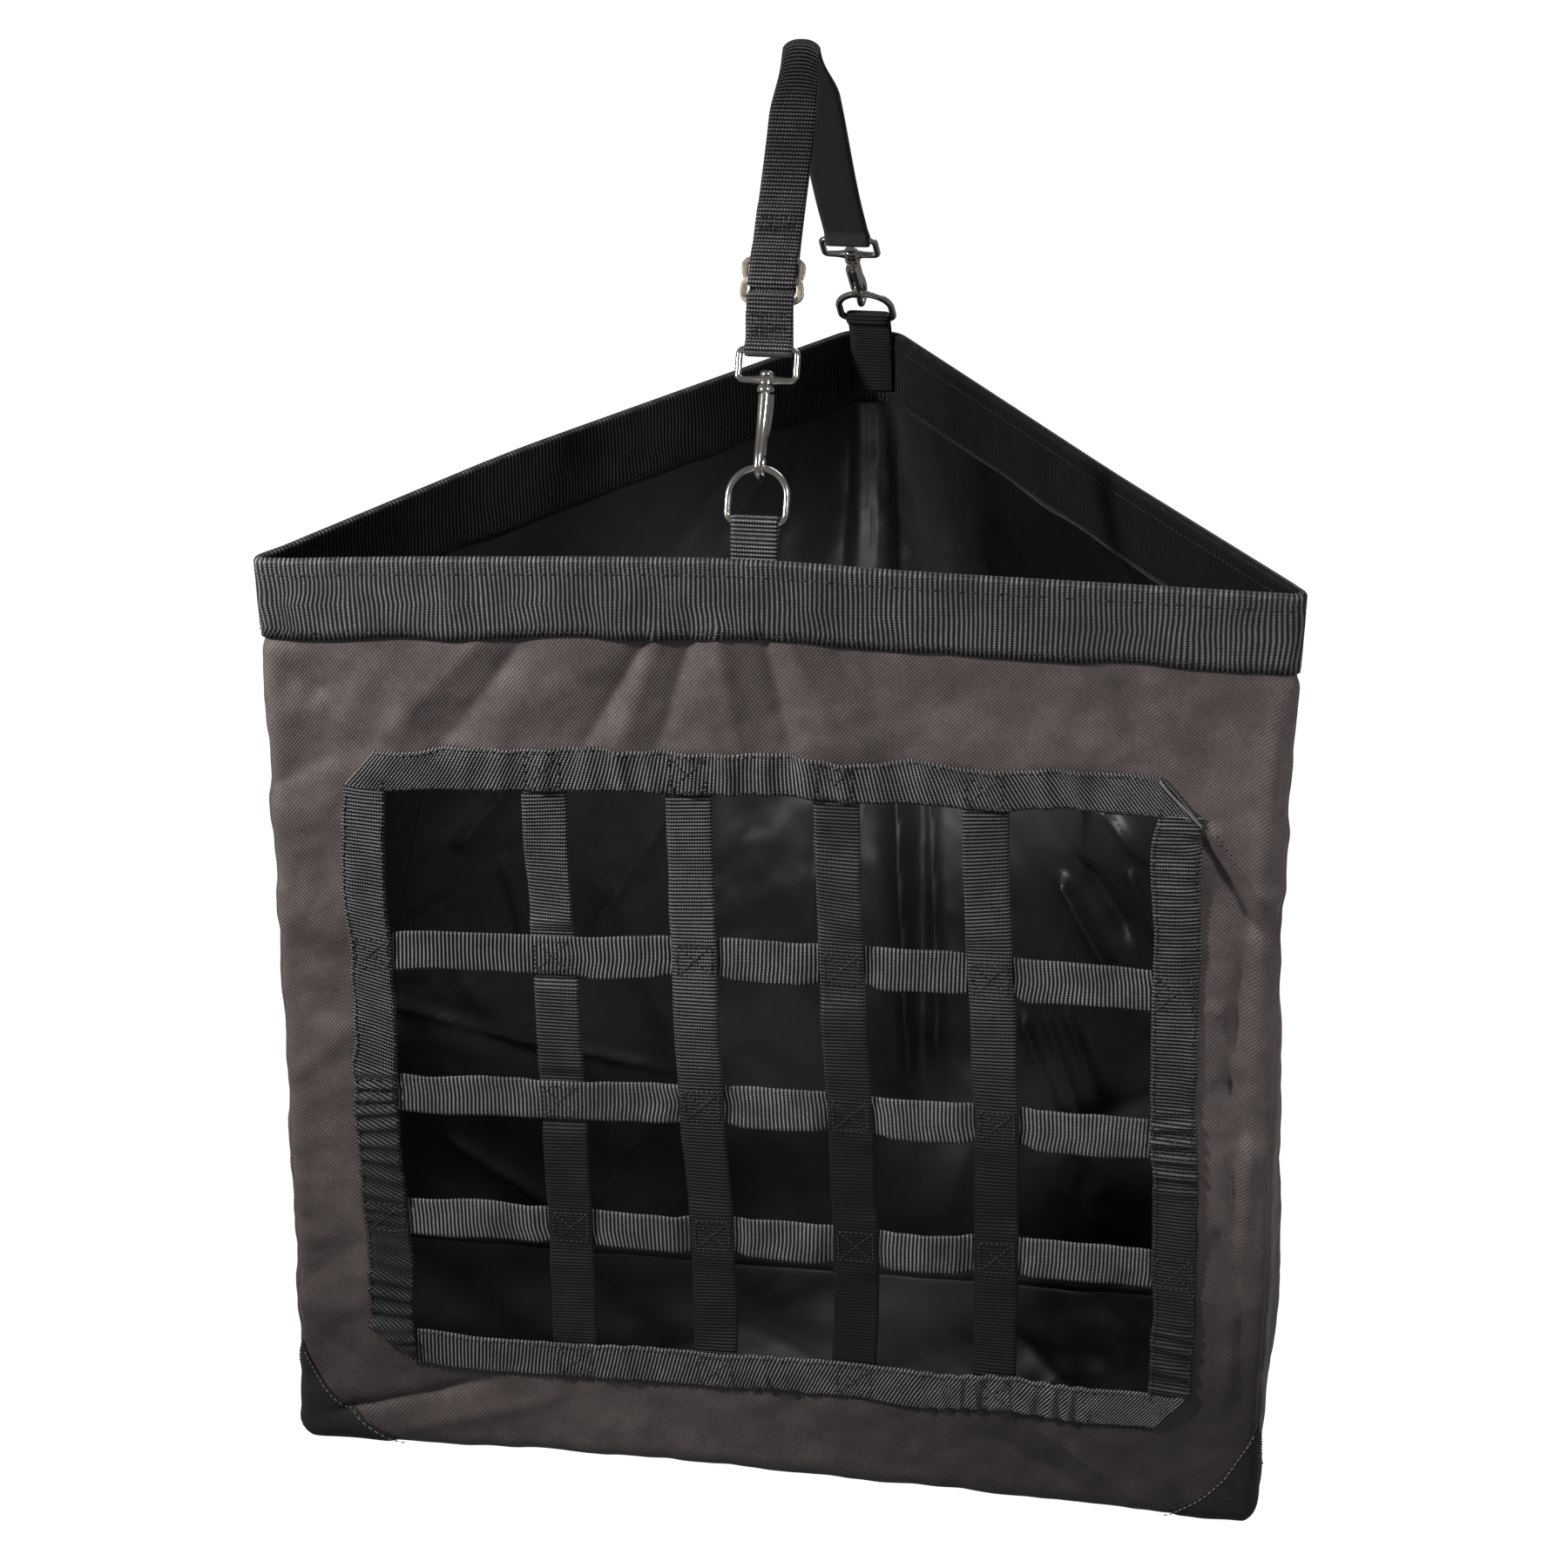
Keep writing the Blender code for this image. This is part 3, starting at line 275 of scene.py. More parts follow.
def relief(w, s):
    """How far the cloth stands out of its flat sheets."""
    total = 0.0
    for line, height, width, spread in FRONT_FOLDS:
        total = total + fold(w, s, line, FOLD_GAIN * height, width, spread)
    for folds, other in ((SIDE_FOLDS, 0.7), (BACK_FOLDS, 0.8)):
        for line, height, width, spread in folds:
            total = total + fold(w, s, line, height, width, spread)
            total = total + fold(w, s, mirrored(line), height * other, width * 1.1, spread)
    for line, height, width, spread in LONE_FOLDS:
        total = total + fold(w, s, line, height, width, spread)
    side = np.abs(w)
    behind = ease((side - HALF) / 0.02)
    window = ease((WINDOW_HALF + 0.030 - side) / 0.02)
    window = window * ease((s - WINDOW_TOP + 0.035) / 0.03)
    window = window * ease((WINDOW_BOTTOM + 0.035 - s) / 0.03)
    loose = (1.0 - window) * (0.0019 - 0.0009 * behind)
    total = total * (1.0 - 0.75 * window)
    taut = 1.0 - 0.6 * np.exp(-((w - HALF) / 0.025) ** 2)
    total = total + loose * taut * rough(w, s, 0.050, 21) * ease((s - 0.02) / 0.06)
    fine = 0.0007 * rough(w, s, 0.018, 31, 2)
    total = total + fine * (1.0 - 0.8 * window) * ease((s - 0.05) / 0.03)
    total = total + 0.0012 * window * lattice(w, s, 0.09, 5)
    # at the front corners the cloth leaves the binding at the height of its face
    corner = np.exp(-((side - HALF) / 0.022) ** 2)
    total = total + 0.0026 * corner * ease((s - 0.0445) / 0.009) * ease((0.26 - s) / 0.15)
    # the left gusset swells a little; the lower edge turns under
    swell = ease((side - HALF) / 0.05) * ease((ROUND[0] - side) / 0.05)
    swell = np.where(w > 0, -0.0015, 0.007) * swell
    total = total + swell * np.sin(math.pi * np.clip(s / BAG_HEIGHT, 0, 1)) ** 0.6
    under = np.clip((s - (BAG_HEIGHT - 0.010)) / 0.010, 0.0, 1.2)
    return total - 0.0040 * under ** 2


# how the cloth hangs away from the flat pattern, in millimetres: rows down, columns across
HANG_W = np.array((-LAST, -0.471, -0.280, -0.213, -0.08, 0.0, 0.08, 0.213, 0.280, 0.471, LAST))
HANG_S = np.array((0.0, 0.130, 0.300, 0.450, 0.600))
HANG_RIGHT = np.array((
    (0, 0, 5.0, 3, 0, -1, 1, 6, 13, 4, 0),
    (0, -1, 3.0, 0, 0, 0, 0, 0, 2, 4, 0),
    (0, -3, -6.0, -6, -2, 0, 0, 0, 1, -6, 0),
    (0, -7, -14.0, -7, -2, -1, 2, 2, -2, -12, 0),
    (0, -9, -22.0, -10, -3, -2, -2, -4, -9, -11, 0)), float)
HANG_DOWN = np.array((
    (0, 5, 15.0, 10, 3, 0, 3, 4.5, 5, 3, 0),
    (0, 5, 15.0, 12, 3, -1, -1, -1.5, 3, 3, 0),
    (0, 4, 8.0, 5, 0, -1, -1, 0, 2, 2, 0),
    (0, 2, 3.0, 3, 0, 0, 0, 0, 1, 1, 0),
    (0, 0, -3.0, -1, -6, -5, -2, 1, 2.5, 0, 0)), float)


def hang(table, w, s):
    """Smooth reading of a hang table, averaged over neighbouring places."""
    total = 0.0
    spots = [(dw, ds) for dw in (-0.022, 0.0, 0.022) for ds in (-0.03, 0.0, 0.03)]
    for dw, ds in spots:
        ww, ss = np.clip(w + dw, -LAST, LAST), np.clip(s + ds, 0.0, 0.6)
        rows = np.stack([np.interp(ww, HANG_W, row) for row in table], 0)
        j = np.clip(np.searchsorted(HANG_S, ss, side="right") - 1, 0, len(HANG_S) - 2)
        t = (ss - HANG_S[j]) / (HANG_S[j + 1] - HANG_S[j])
        lower = np.take_along_axis(rows, j[None], 0)[0]
        upper = np.take_along_axis(rows, (j + 1)[None], 0)[0]
        total = total + lower * (1 - t) + upper * t
    return total / len(spots) / 1000.0


def slopes(points):
    across = np.gradient(points, STEP_W, axis=1)
    downward = np.gradient(points, STEP_S, axis=0)
    return unit(np.cross(downward, across))


def make_wall():
    w, s = np.meshgrid(W_AXIS, S_AXIS)
    points = plain_wall()
    points = points + slopes(points) * relief(w, s)[..., None]
    points[..., 0] += hang(HANG_RIGHT, w, s)
    points = points + DOWN * hang(HANG_DOWN, w, s)[..., None]
    return points, slopes(points)


WALL, WALL_OUT = make_wall()


def wall(w, s, out=0.0):
    """Points out from the wall's inner face; arrays of one shape in, (..., 3) back."""
    w, s, out = np.broadcast_arrays(np.asarray(w, float), np.asarray(s, float),
                                    np.asarray(out, float))
    fw = np.clip((w - W_AXIS[0]) / STEP_W, 0, len(W_AXIS) - 1.001)
    fs = np.clip((s - S_AXIS[0]) / STEP_S, 0, len(S_AXIS) - 1.001)
    i, j = fw.astype(int), fs.astype(int)
    tw, ts = (fw - i)[..., None], (fs - j)[..., None]

    def read(table):
        upper = table[j, i] * (1 - tw) + table[j, i + 1] * tw
        lower = table[j + 1, i] * (1 - tw) + table[j + 1, i + 1] * tw
        return upper * (1 - ts) + lower * ts

    return read(WALL) + unit(read(WALL_OUT)) * out[..., None]


# ------------------------------------------------------------- mesh building
def add_object(name, data):
    obj = bpy.data.objects.new(name, data)
    bpy.context.scene.collection.objects.link(obj)
    return obj


def visible(name, mesh, body, nodes=()):
    """A mesh as one visible piece: its body and the nodes that it replaces."""
    obj = add_object(name, mesh)
    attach(obj, body)
    if nodes:
        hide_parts(*nodes)
    return obj


def mesh_piece(name, points, faces, material, slot="black_webbing", uv=None, kinds=None,
               others=(), nodes=()):
    """Piece of cloth or webbing; kinds picks each face's material, uv is per vertex."""
    mesh = bpy.data.meshes.new(name)
    mesh.from_pydata(np.asarray(points, float).tolist(), [], np.asarray(faces, int).tolist())
    mesh.materials.append(material)
    for other in others:
        mesh.materials.append(other)
    if kinds is not None:
        mesh.polygons.foreach_set("material_index", np.asarray(kinds, np.int32))
    if uv is not None:
        layer = mesh.uv_layers.new(name="weave")
        corner = np.empty(len(mesh.loops), np.int32)
        mesh.loops.foreach_get("vertex_index", corner)
        layer.data.foreach_set("uv", np.asarray(uv, np.float32)[corner].ravel())
    mesh.shade_smooth()
    mesh.update()
    return visible(name, mesh, "root", nodes)


def grid_quads(rows, cols, keep=None, flip=False, wrap=False):
    """Quads of a rows by cols grid of vertices; keep is a mask of its cells."""
    last = cols if wrap else cols - 1
    j, i = np.meshgrid(np.arange(rows - 1), np.arange(last), indexing="ij")
    if keep is not None:
        j, i = j[keep], i[keep]
    k = (i + 1) % cols
    quads = np.stack((j * cols + i, j * cols + k, (j + 1) * cols + k, (j + 1) * cols + i), -1)
    quads = quads.reshape(-1, 4)
    return quads[:, ::-1] if flip else quads


def rim_quads(quads, shift):
    """Faces joining the open edges of a sheet to those of its copy, shift vertices on."""
    edges = np.concatenate([quads[:, [k, (k + 1) % 4]] for k in range(4)])
    key = np.sort(edges, 1)
    _, first, count = np.unique(key, axis=0, return_index=True, return_counts=True)
    rim = edges[first[count == 1]]
    return np.stack((rim[:, 1], rim[:, 0], rim[:, 0] + shift, rim[:, 1] + shift), -1)


def shell(outer, inner, keep=None, flip=False):
    """Two grids of points closed at their open edges: vertices, faces and face kinds."""
    rows, cols = outer.shape[:2]
    front = grid_quads(rows, cols, keep=keep, flip=flip)
    rim = rim_quads(front, rows * cols)
    faces = np.concatenate((front, front[:, ::-1] + rows * cols, rim))
    kinds = np.concatenate((np.zeros(len(front)), np.ones(len(front)), np.zeros(len(rim))))
    return np.concatenate((outer.reshape(-1, 3), inner.reshape(-1, 3))), faces, kinds


def cloth(name, w_values, s_values, keep=None, place=wall, **facts):
    """Closed thin shell on the wall: coloured face outside, coated face inside."""
    s, w = np.meshgrid(s_values, w_values, indexing="ij")
    inner, outer = place(w, s, FABRIC - 0.0006), place(w, s, FABRIC)
    points, faces, kinds = shell(outer, inner, keep, flip=True)
    uv = np.stack((w, s), -1).reshape(-1, 2)
    used = np.unique(faces)
    remap = np.full(len(points), -1)
    remap[used] = np.arange(len(used))
    return mesh_piece(name, points[used], remap[faces], OXFORD, slot="oxford_fabric",
                      uv=np.concatenate((uv, uv))[used], kinds=kinds, others=(COATING,), **facts)


def stations(*stops, step):
    """Values from the first stop to the last, hitting each stop, about one step apart."""
    parts = [np.linspace(a, b, max(int(round((b - a) / step)), 1), endpoint=False)
             for a, b in zip(stops, stops[1:])]
    return np.concatenate(parts + [np.array(stops[-1:])])


RIB = 0.00225          # pitch of the ribs that cross a webbing
BEAD = 0.00145         # pitch of the floats along one rib
RIB_HEIGHT = 0.00036


def rib_wave(v, pitch=RIB):
    return (0.5 + 0.5 * np.cos(2 * math.pi * v / pitch)) ** 0.6


def ribbon(name, length, half, place, thick=WEB_THICK, plain=None, rib=RIB,
           height=RIB_HEIGHT, samples=5, material=None, slot="black_webbing", across=13,
           uv_shift=0.0, **facts):
    """Woven strip: place(u, v, h) puts a point at u across, v along and h off its middle.

    plain is None for ribs on both faces; else the run of v whose upper face is the smooth
    one, the lower face being smooth before and after it.
    """
    rows = max(int(round(length / rib)) * samples, 8)
    v = np.linspace(0.0, length, rows + 1)
    u = np.sin(np.linspace(-0.5, 0.5, across) * math.pi) * 0.35
    u = u + 0.65 * np.linspace(-1, 1, across)
    u = u / np.abs(u).max() * half
    edge = 1.0 - 0.45 * (np.abs(u) / half) ** 14
    vv, uu = np.meshgrid(v, u, indexing="ij")
    calm = 1.0 - (np.abs(uu) / half) ** 10
    crest = height * (rib_wave(vv, rib) * calm - 0.5)
    over = np.zeros(vv.shape, bool) if plain is None else (vv > plain[0]) & (vv < plain[1])
    under = ~over if plain is not None else over
    top = thick / 2 * edge + np.where(over, 0.0, crest)
    low = -thick / 2 * edge - np.where(under, 0.0, crest)
    shut = np.clip(np.minimum(vv, length - vv) / 0.0006, 0.35, 1.0)
    top, low = top * shut, low * shut
    upper = place(uu, vv, top)
    lower = place(uu, vv, low)
    ring = np.concatenate((upper, lower[:, ::-1]), 1)
    count, cols = ring.shape[0], ring.shape[1]
    faces = grid_quads(count, cols, wrap=True)
    n = across
    cap0 = np.array([[i, i + 1, 2 * n - 2 - i, 2 * n - 1 - i] for i in range(n - 1)])
    cap1 = cap0[:, ::-1] + (count - 1) * cols
    kinds = np.zeros((count - 1, cols), int)
    if plain is not None:
        kinds[:, :n - 1] = over[1:, :1] & over[:-1, :1]
        kinds[:, n:cols - 1] = under[1:, :1] & under[:-1, :1]
    kinds = np.concatenate((kinds.ravel(), np.zeros(2 * (n - 1), int)))
    uv = np.concatenate((np.stack((uu, vv + uv_shift), -1),
                         np.stack((uu, vv + uv_shift), -1)[:, ::-1]), 1)
    others = () if plain is None else (SMOOTH_WEB,)
    return mesh_piece(name, ring.reshape(-1, 3), np.concatenate((faces, cap0, cap1)),
                      material or WEB, slot=slot, uv=uv.reshape(-1, 2), kinds=kinds,
                      others=others, **facts)


def capped(rows, sides):
    """Faces of a tube of rows rings, closed at both ends."""
    faces = [list(q) for q in grid_quads(rows, sides, wrap=True)]
    return faces + [list(range(sides - 1, -1, -1)),
                    [(rows - 1) * sides + k for k in range(sides)]]


def tube(points, radii, sides=16, cyclic=False):
    """Round bar along points: its vertices and faces."""
    p = np.asarray(points, float)
    r = np.broadcast_to(np.asarray(radii, float), (len(p),))
    n = len(p)
    if cyclic:
        ahead, behind = np.roll(p, -1, 0), np.roll(p, 1, 0)
    else:
        ahead, behind = np.vstack((p[1:], p[-1:])), np.vstack((p[:1], p[:-1]))
    tangent = unit(ahead - behind)
    normal = np.cross(tangent[0], (1.0, 0.0, 0.0))
    if np.linalg.norm(normal) < 0.1:
        normal = np.cross(tangent[0], (0.0, 1.0, 0.0))
    frames = []
    for t in tangent:
        normal = unit(normal - t * normal.dot(t))
        frames.append((normal, np.cross(t, normal)))
    a = np.linspace(0, 2 * math.pi, sides, endpoint=False)
    first = np.array([f[0] for f in frames])[:, None]
    second = np.array([f[1] for f in frames])[:, None]
    turned = first * np.cos(a)[:, None] + second * np.sin(a)[:, None]
    ring = (p[:, None] + r[:, None, None] * turned).reshape(-1, 3)
    if not cyclic:
        return ring, capped(n, sides)
    i = np.arange(sides)
    k = (i + 1) % sides
    base = (n - 1) * sides
    quads = np.concatenate((grid_quads(n, sides, wrap=True),
                            np.stack((base + i, base + k, k, i), -1)))
    return ring, [list(q) for q in quads]


def joined(parts):
    """Several (vertices, faces) as one."""
    points, faces, start = [], [], 0
    for p, f in parts:
        points.append(p)
        faces += [[i + start for i in face] for face in f]
        start += len(p)
    return np.concatenate(points), faces


def metal_piece(name, parts, body, angle=40.0):
    """Nickel piece; its body and the node that it replaces have one name."""
    points, faces = joined(parts)
    mesh = bpy.data.meshes.new(name)
    mesh.from_pydata(points.tolist(), [], faces)
    mesh.materials.append(NICKEL)
    bm = bmesh.new()
    bm.from_mesh(mesh)
    bmesh.ops.recalc_face_normals(bm, faces=bm.faces)
    bm.to_mesh(mesh)
    bm.free()
    mesh.shade_smooth()
    mesh.set_sharp_from_angle(angle=math.radians(angle))
    visible(name, mesh, body, (body,))


def arc(centre, radius, start, end, steps):
    span = np.radians(np.linspace(start, end, steps + 1))
    return [(centre[0] + radius * math.cos(t), centre[1] + radius * math.sin(t)) for t in span]


def rounded_box(half, low, high, radius):
    """Outline from -half to half and from low to high, with rounded corners."""
    line = []
    for x, y, start in ((half - radius, low + radius, -90), (half - radius, high - radius, 0),
                        (radius - half, high - radius, 90), (radius - half, low + radius, 180)):
        line += arc((x, y), radius, start, start + 90, 8)
    return line


def travel(points):
    """Distance along a line at each of its points."""
    steps = np.linalg.norm(np.diff(points, axis=0), axis=1)
    return np.concatenate(([0.0], np.cumsum(steps)))


def along_line(points, at, t):
    """Places at distances t on a line whose own points are at distances at."""
    return np.stack([np.interp(t, at, points[:, k]) for k in range(points.shape[1])], -1)


# ----------------------------------------------------------------- materials
class Shader:
    """A Principled material whose colour, roughness and bump come from its nodes."""

    def __init__(self, name, **values):
        self.mat = bpy.data.materials.new(name)
        self.mat.use_nodes = True
        self.tree = self.mat.node_tree
        self.main = self.tree.nodes["Principled BSDF"]
        for key, value in values.items():
            self.main.inputs[key.replace("_", " ")].default_value = value

    def node(self, kind, **settings):
        made = self.tree.nodes.new(kind)
        for key, value in settings.items():
            setattr(made, key, value)
        return made

    def link(self, value, socket):
        if isinstance(value, (int, float)):
            socket.default_value = value
        elif isinstance(value, tuple):
            socket.default_value = (*value, 1.0)
        else:
            self.tree.links.new(value, socket)

    def math(self, operation, a, b=0.0, c=None, clamp=False):
        made = self.node("ShaderNodeMath", operation=operation, use_clamp=clamp)
        self.link(a, made.inputs[0])
        self.link(b, made.inputs[1])
        if c is not None:
            self.link(c, made.inputs[2])
        return made.outputs[0]

    def split(self, vector):
        made = self.node("ShaderNodeSeparateXYZ")
        self.link(vector, made.inputs[0])
        return made.outputs

    def uv(self):
        axes = self.split(self.node("ShaderNodeUVMap", uv_map="weave").outputs[0])
        return axes[0], axes[1]

    def place(self):
        return self.node("ShaderNodeTexCoord").outputs["Object"]

    def noise(self, vector, scale, detail=3.0, roughness=0.5, distortion=0.0):
        made = self.node("ShaderNodeTexNoise")
        self.link(vector, made.inputs["Vector"])
        for key, value in (("Scale", scale), ("Detail", detail), ("Roughness", roughness),
                           ("Distortion", distortion)):
            made.inputs[key].default_value = value
        return made.outputs["Fac"]

    def wave(self, value, pitch, phase=0.0):
        """0 to 1 and back over each pitch of a length."""
        turns = self.math("MULTIPLY", value, 2 * math.pi / pitch)
        if not isinstance(phase, float) or phase:
            turns = self.math("ADD", turns, phase)
        return self.math("MULTIPLY_ADD", self.math("COSINE", turns), 0.5, 0.5)

    def mix(self, factor, a, b):
        made = self.node("ShaderNodeMix", data_type="RGBA")
        for socket, item in ((made.inputs[0], factor), (made.inputs[6], a), (made.inputs[7], b)):
            self.link(item, socket)
        return made.outputs[2]

    def span(self, value, low, high, new_low=0.0, new_high=1.0):
        made = self.node("ShaderNodeMapRange")
        for socket, item in zip(made.inputs[:5], (value, low, high, new_low, new_high)):
            self.link(item, socket)
        return made.outputs[0]

    def region(self, axes, z_ramp, x_ramp):
        """0 to 1 as z and x both go from the first to the second value of their ramps."""
        return self.math("MULTIPLY", self.span(axes[2], *z_ramp), self.span(axes[0], *x_ramp))

    def bump(self, height, distance, strength=1.0, under=None):
        made = self.node("ShaderNodeBump")
        made.inputs["Strength"].default_value = strength
        made.inputs["Distance"].default_value = distance
        self.link(height, made.inputs["Height"])
        if under is not None:
            self.link(under, made.inputs["Normal"])
        return made.outputs[0]

    def done(self, colour=None, roughness=None, normal=None):
        for key, value in (("Base Color", colour), ("Roughness", roughness), ("Normal", normal)):
            if value is not None:
                self.link(value, self.main.inputs[key])
        return self.mat


def oxford_material():
    """Twill-woven polyester: fine diagonal lines, slubs and a soft sheen."""
    s = Shader("oxford_twill", Specular_IOR_Level=0.45, Sheen_Weight=0.10, Sheen_Roughness=0.4)
    u, v = s.uv()
    spot = s.place()
    drift = s.noise(spot, 14.0, 4.0, 0.6)
    slub = s.noise(spot, 520.0, 3.0, 0.7)
    blotch = s.noise(spot, 130.0, 3.0, 0.65)
    diagonal = s.math("ADD", u, s.math("MULTIPLY", v, 0.85))
    twill = s.wave(diagonal, 0.0022, s.math("MULTIPLY", slub, 2.2))
    cross = s.wave(s.math("SUBTRACT", u, v), 0.0026, s.math("MULTIPLY", slub, 2.0))
    weave = s.math("MULTIPLY_ADD", cross, 0.30, s.math("MULTIPLY", twill, 0.70))
    tone = s.math("MULTIPLY_ADD", s.noise(spot, 45.0, 3.0, 0.6), 0.5,
                  s.math("MULTIPLY", drift, 0.5))
    base = s.mix(s.span(tone, 0.34, 0.66), (0.098, 0.077, 0.076), (0.168, 0.136, 0.134))
    dark = s.mix(0.75, base, (0.010, 0.0075, 0.0070))
    grain = s.math("MULTIPLY_ADD", slub, 0.70, s.math("MULTIPLY", blotch, 0.35))
    share = s.math("MULTIPLY_ADD", weave, 0.75, s.math("SUBTRACT", grain, 0.26), clamp=True)
    colour = s.mix(share, dark, base)
    rough_value = s.span(slub, 0.2, 0.8, 0.40, 0.56)
    soft = s.bump(drift, 0.0012, 0.25)
    axes = s.split(spot)
    # painted shade on the cloth's colour, where less light falls
    # darker to the lower right and at the lower left corner, as in the photo
    for z_ramp, x_ramp, depth in (((-0.62, -0.74), (-0.20, 0.14), 0.70),
                                  ((-0.66, -0.78), (-0.12, -0.24), 0.40)):
        shade = s.mix(depth, colour, (0.004, 0.003, 0.003))
        colour = s.mix(s.region(axes, z_ramp, x_ramp), colour, shade)
    return s.done(colour, rough_value, s.bump(weave, 0.00025, 0.9, soft))


def coating_material():
    """Black coating on the inside of the cloth: broad soft shine, fine crazing creases."""
    s = Shader("coating", Specular_IOR_Level=0.45)
    spot = s.place()
    drift = s.noise(spot, 6.0, 3.0, 0.5, 0.6)
    fine = s.noise(spot, 40.0, 3.0, 0.55)
    u, v = s.uv()
    weave = s.math("MULTIPLY", s.wave(u, 0.0012), s.wave(v, 0.0012))
    colour = s.mix(drift, (0.0190, 0.0198, 0.0215), (0.0380, 0.0390, 0.0420))
    axes = s.split(spot)
    # painted patches on the coat's colour: a painted shade where the coat is also glossier, a
    # painted light patch higher up on the left, and a painted shade to the lower right
    painted_shade_glossy = s.region(axes, (-0.47, -0.37), (-0.02, 0.08))
    painted_light = s.region(axes, (-0.42, -0.34), (-0.02, -0.10))
    shaded = s.region(axes, (-0.66, -0.73), (0.02, 0.14))
    for area, tint in ((painted_shade_glossy, (0.0030, 0.0031, 0.0034)), (painted_light, (0.055, 0.057, 0.061)),
                       (shaded, (0.0040, 0.0040, 0.0042))):
        colour = s.mix(area, colour, tint)
    large = s.bump(drift, 0.008, 0.25)
    mid = s.bump(fine, 0.0008, 0.20, large)
    dull = s.math("MULTIPLY_ADD", painted_shade_glossy, -0.18, s.span(fine, 0.3, 0.7, 0.34, 0.48))
    return s.done(colour, dull, s.bump(weave, 0.00006, 0.4, mid))


def web_material(name, crest, valley=(0.003, 0.003, 0.0035), rib=RIB, bead=BEAD, bump=0.0009,
                 beads=0.45, fades=()):
    """Ribbed webbing: rows of floats crossing the strip, each row half a float on.

    fades: (axis, from, to, level), where the ribs' colour is painted darker along an axis as
    painted shade, and their bump is flattened too.
    """
    s = Shader(name, Specular_IOR_Level=0.25, Sheen_Weight=0.03, Sheen_Roughness=0.4)
    u, v = s.uv()
    spot = s.place()
    row = s.math("FLOOR", s.math("MULTIPLY_ADD", v, 1.0 / rib, 0.5))
    skew = s.math("MULTIPLY", v, 2 * math.pi * 0.35 / bead)
    float_phase = s.math("ADD", s.math("MULTIPLY", row, math.pi), skew)
    floats = s.wave(u, bead, float_phase)
    ribs = s.math("POWER", s.wave(v, rib), 1.2)
    height = s.math("MULTIPLY", ribs, s.math("MULTIPLY_ADD", floats, beads, 1.0 - beads))
    worn = s.noise(spot, 45.0, 3.0, 0.6)
    fuzz = s.noise(spot, 1100.0, 2.0, 0.7)
    light = s.mix(s.span(worn, 0.35, 0.7), tuple(0.55 * c for c in crest), crest)
    share = s.math("MULTIPLY", s.math("POWER", height, 1.6),
                   s.math("MULTIPLY_ADD", fuzz, 1.3, 0.45), clamp=True)
    axes = s.split(spot) if fades else ()
    # painted shade: the ribs' colour darkens along each ramp, and their bump flattens with it
    for axis, start, end, level in fades:
        shade_and_flat = s.span(axes[axis], start, end, 1.0, level)
        share = s.math("MULTIPLY", share, shade_and_flat)
        height = s.math("MULTIPLY", height, shade_and_flat)
    colour = s.mix(share, valley, light)
    normal = s.bump(height, bump, 1.0, s.bump(fuzz, 0.00015, 0.4))
    return s.done(colour, s.span(fuzz, 0.2, 0.8, 0.40, 0.60), normal)


def smooth_web_material():
    """Flat side of the strap: fine lengthwise yarns."""
    s = Shader("webbing_reverse", Specular_IOR_Level=0.35)
    u, v = s.uv()
    spot = s.place()
    fuzz = s.noise(spot, 700.0, 2.0, 0.7)
    yarn = s.math("MULTIPLY", s.wave(u, 0.0007), s.wave(v, 0.0011))
    colour = s.mix(s.math("MULTIPLY_ADD", yarn, 0.4, fuzz), (0.017, 0.0175, 0.0195),
                   (0.085, 0.086, 0.092))
    return s.done(colour, s.span(fuzz, 0.2, 0.8, 0.62, 0.78), s.bump(yarn, 0.00008, 0.6))


def thread_material(name, dark, light, roughness=0.5):
    s = Shader(name, Specular_IOR_Level=0.45)
    spot = s.place()
    colour = s.mix(s.noise(spot, 260.0, 2.0), dark, light)
    return s.done(colour, roughness, s.bump(s.noise(spot, 2600.0, 1.0), 0.0001, 0.5))


def metal_material(name, light, dark, roughness):
    """Plated metal: fine casting ripple, faint wear and darker patches."""
    s = Shader(name, Metallic=1.0)
    spot = s.place()
    drift = s.noise(spot, 60.0, 3.0, 0.6)
    fine = s.noise(spot, 900.0, 2.0, 0.6)
    colour = s.mix(s.span(drift, 0.35, 0.75), light, dark)
    values = s.span(fine, 0.2, 0.8, roughness * 0.75, roughness * 1.35)
    return s.done(colour, values, s.bump(drift, 0.0004, 0.25, s.bump(fine, 0.00004, 0.3)))


def floor_material():
    s = Shader("floor_paper", Specular_IOR_Level=0.1, Emission_Strength=1.0)
    colour = s.mix(s.noise(s.place(), 1.5, 2.0), (0.90, 0.90, 0.90), (0.94, 0.94, 0.94))
    s.link(colour, s.main.inputs["Emission Color"])
    return s.done(colour, 0.9)


OXFORD = oxford_material()
COATING = coating_material()
WEB = web_material("webbing_ribbed", (0.47, 0.45, 0.47))
# painted shade: the columns and the frame's side strips are darker copies of the ribbed webbing,
# painted darker still lower down, the columns also to the right
SHADED_COLUMN_WEB = web_material("webbing_column_painted_shade", (0.36, 0.345, 0.36),
                          fades=((2, -0.48, -0.62, 0.16), (0, -0.12, 0.14, 0.50)))
SHADED_SIDE_WEB = web_material("webbing_side_painted_shade", (0.34, 0.33, 0.35), fades=((2, -0.55, -0.64, 0.28),))
STRAP_WEB = web_material("webbing_strap", (0.55, 0.50, 0.55), (0.002, 0.0018, 0.0035),
                         rib=0.0021, bead=0.0016, beads=0.75)
SMOOTH_WEB = smooth_web_material()
BIND_WEB = web_material("webbing_binding", (0.34, 0.33, 0.34), (0.012, 0.012, 0.013),
                        rib=0.0026, bead=0.0014)
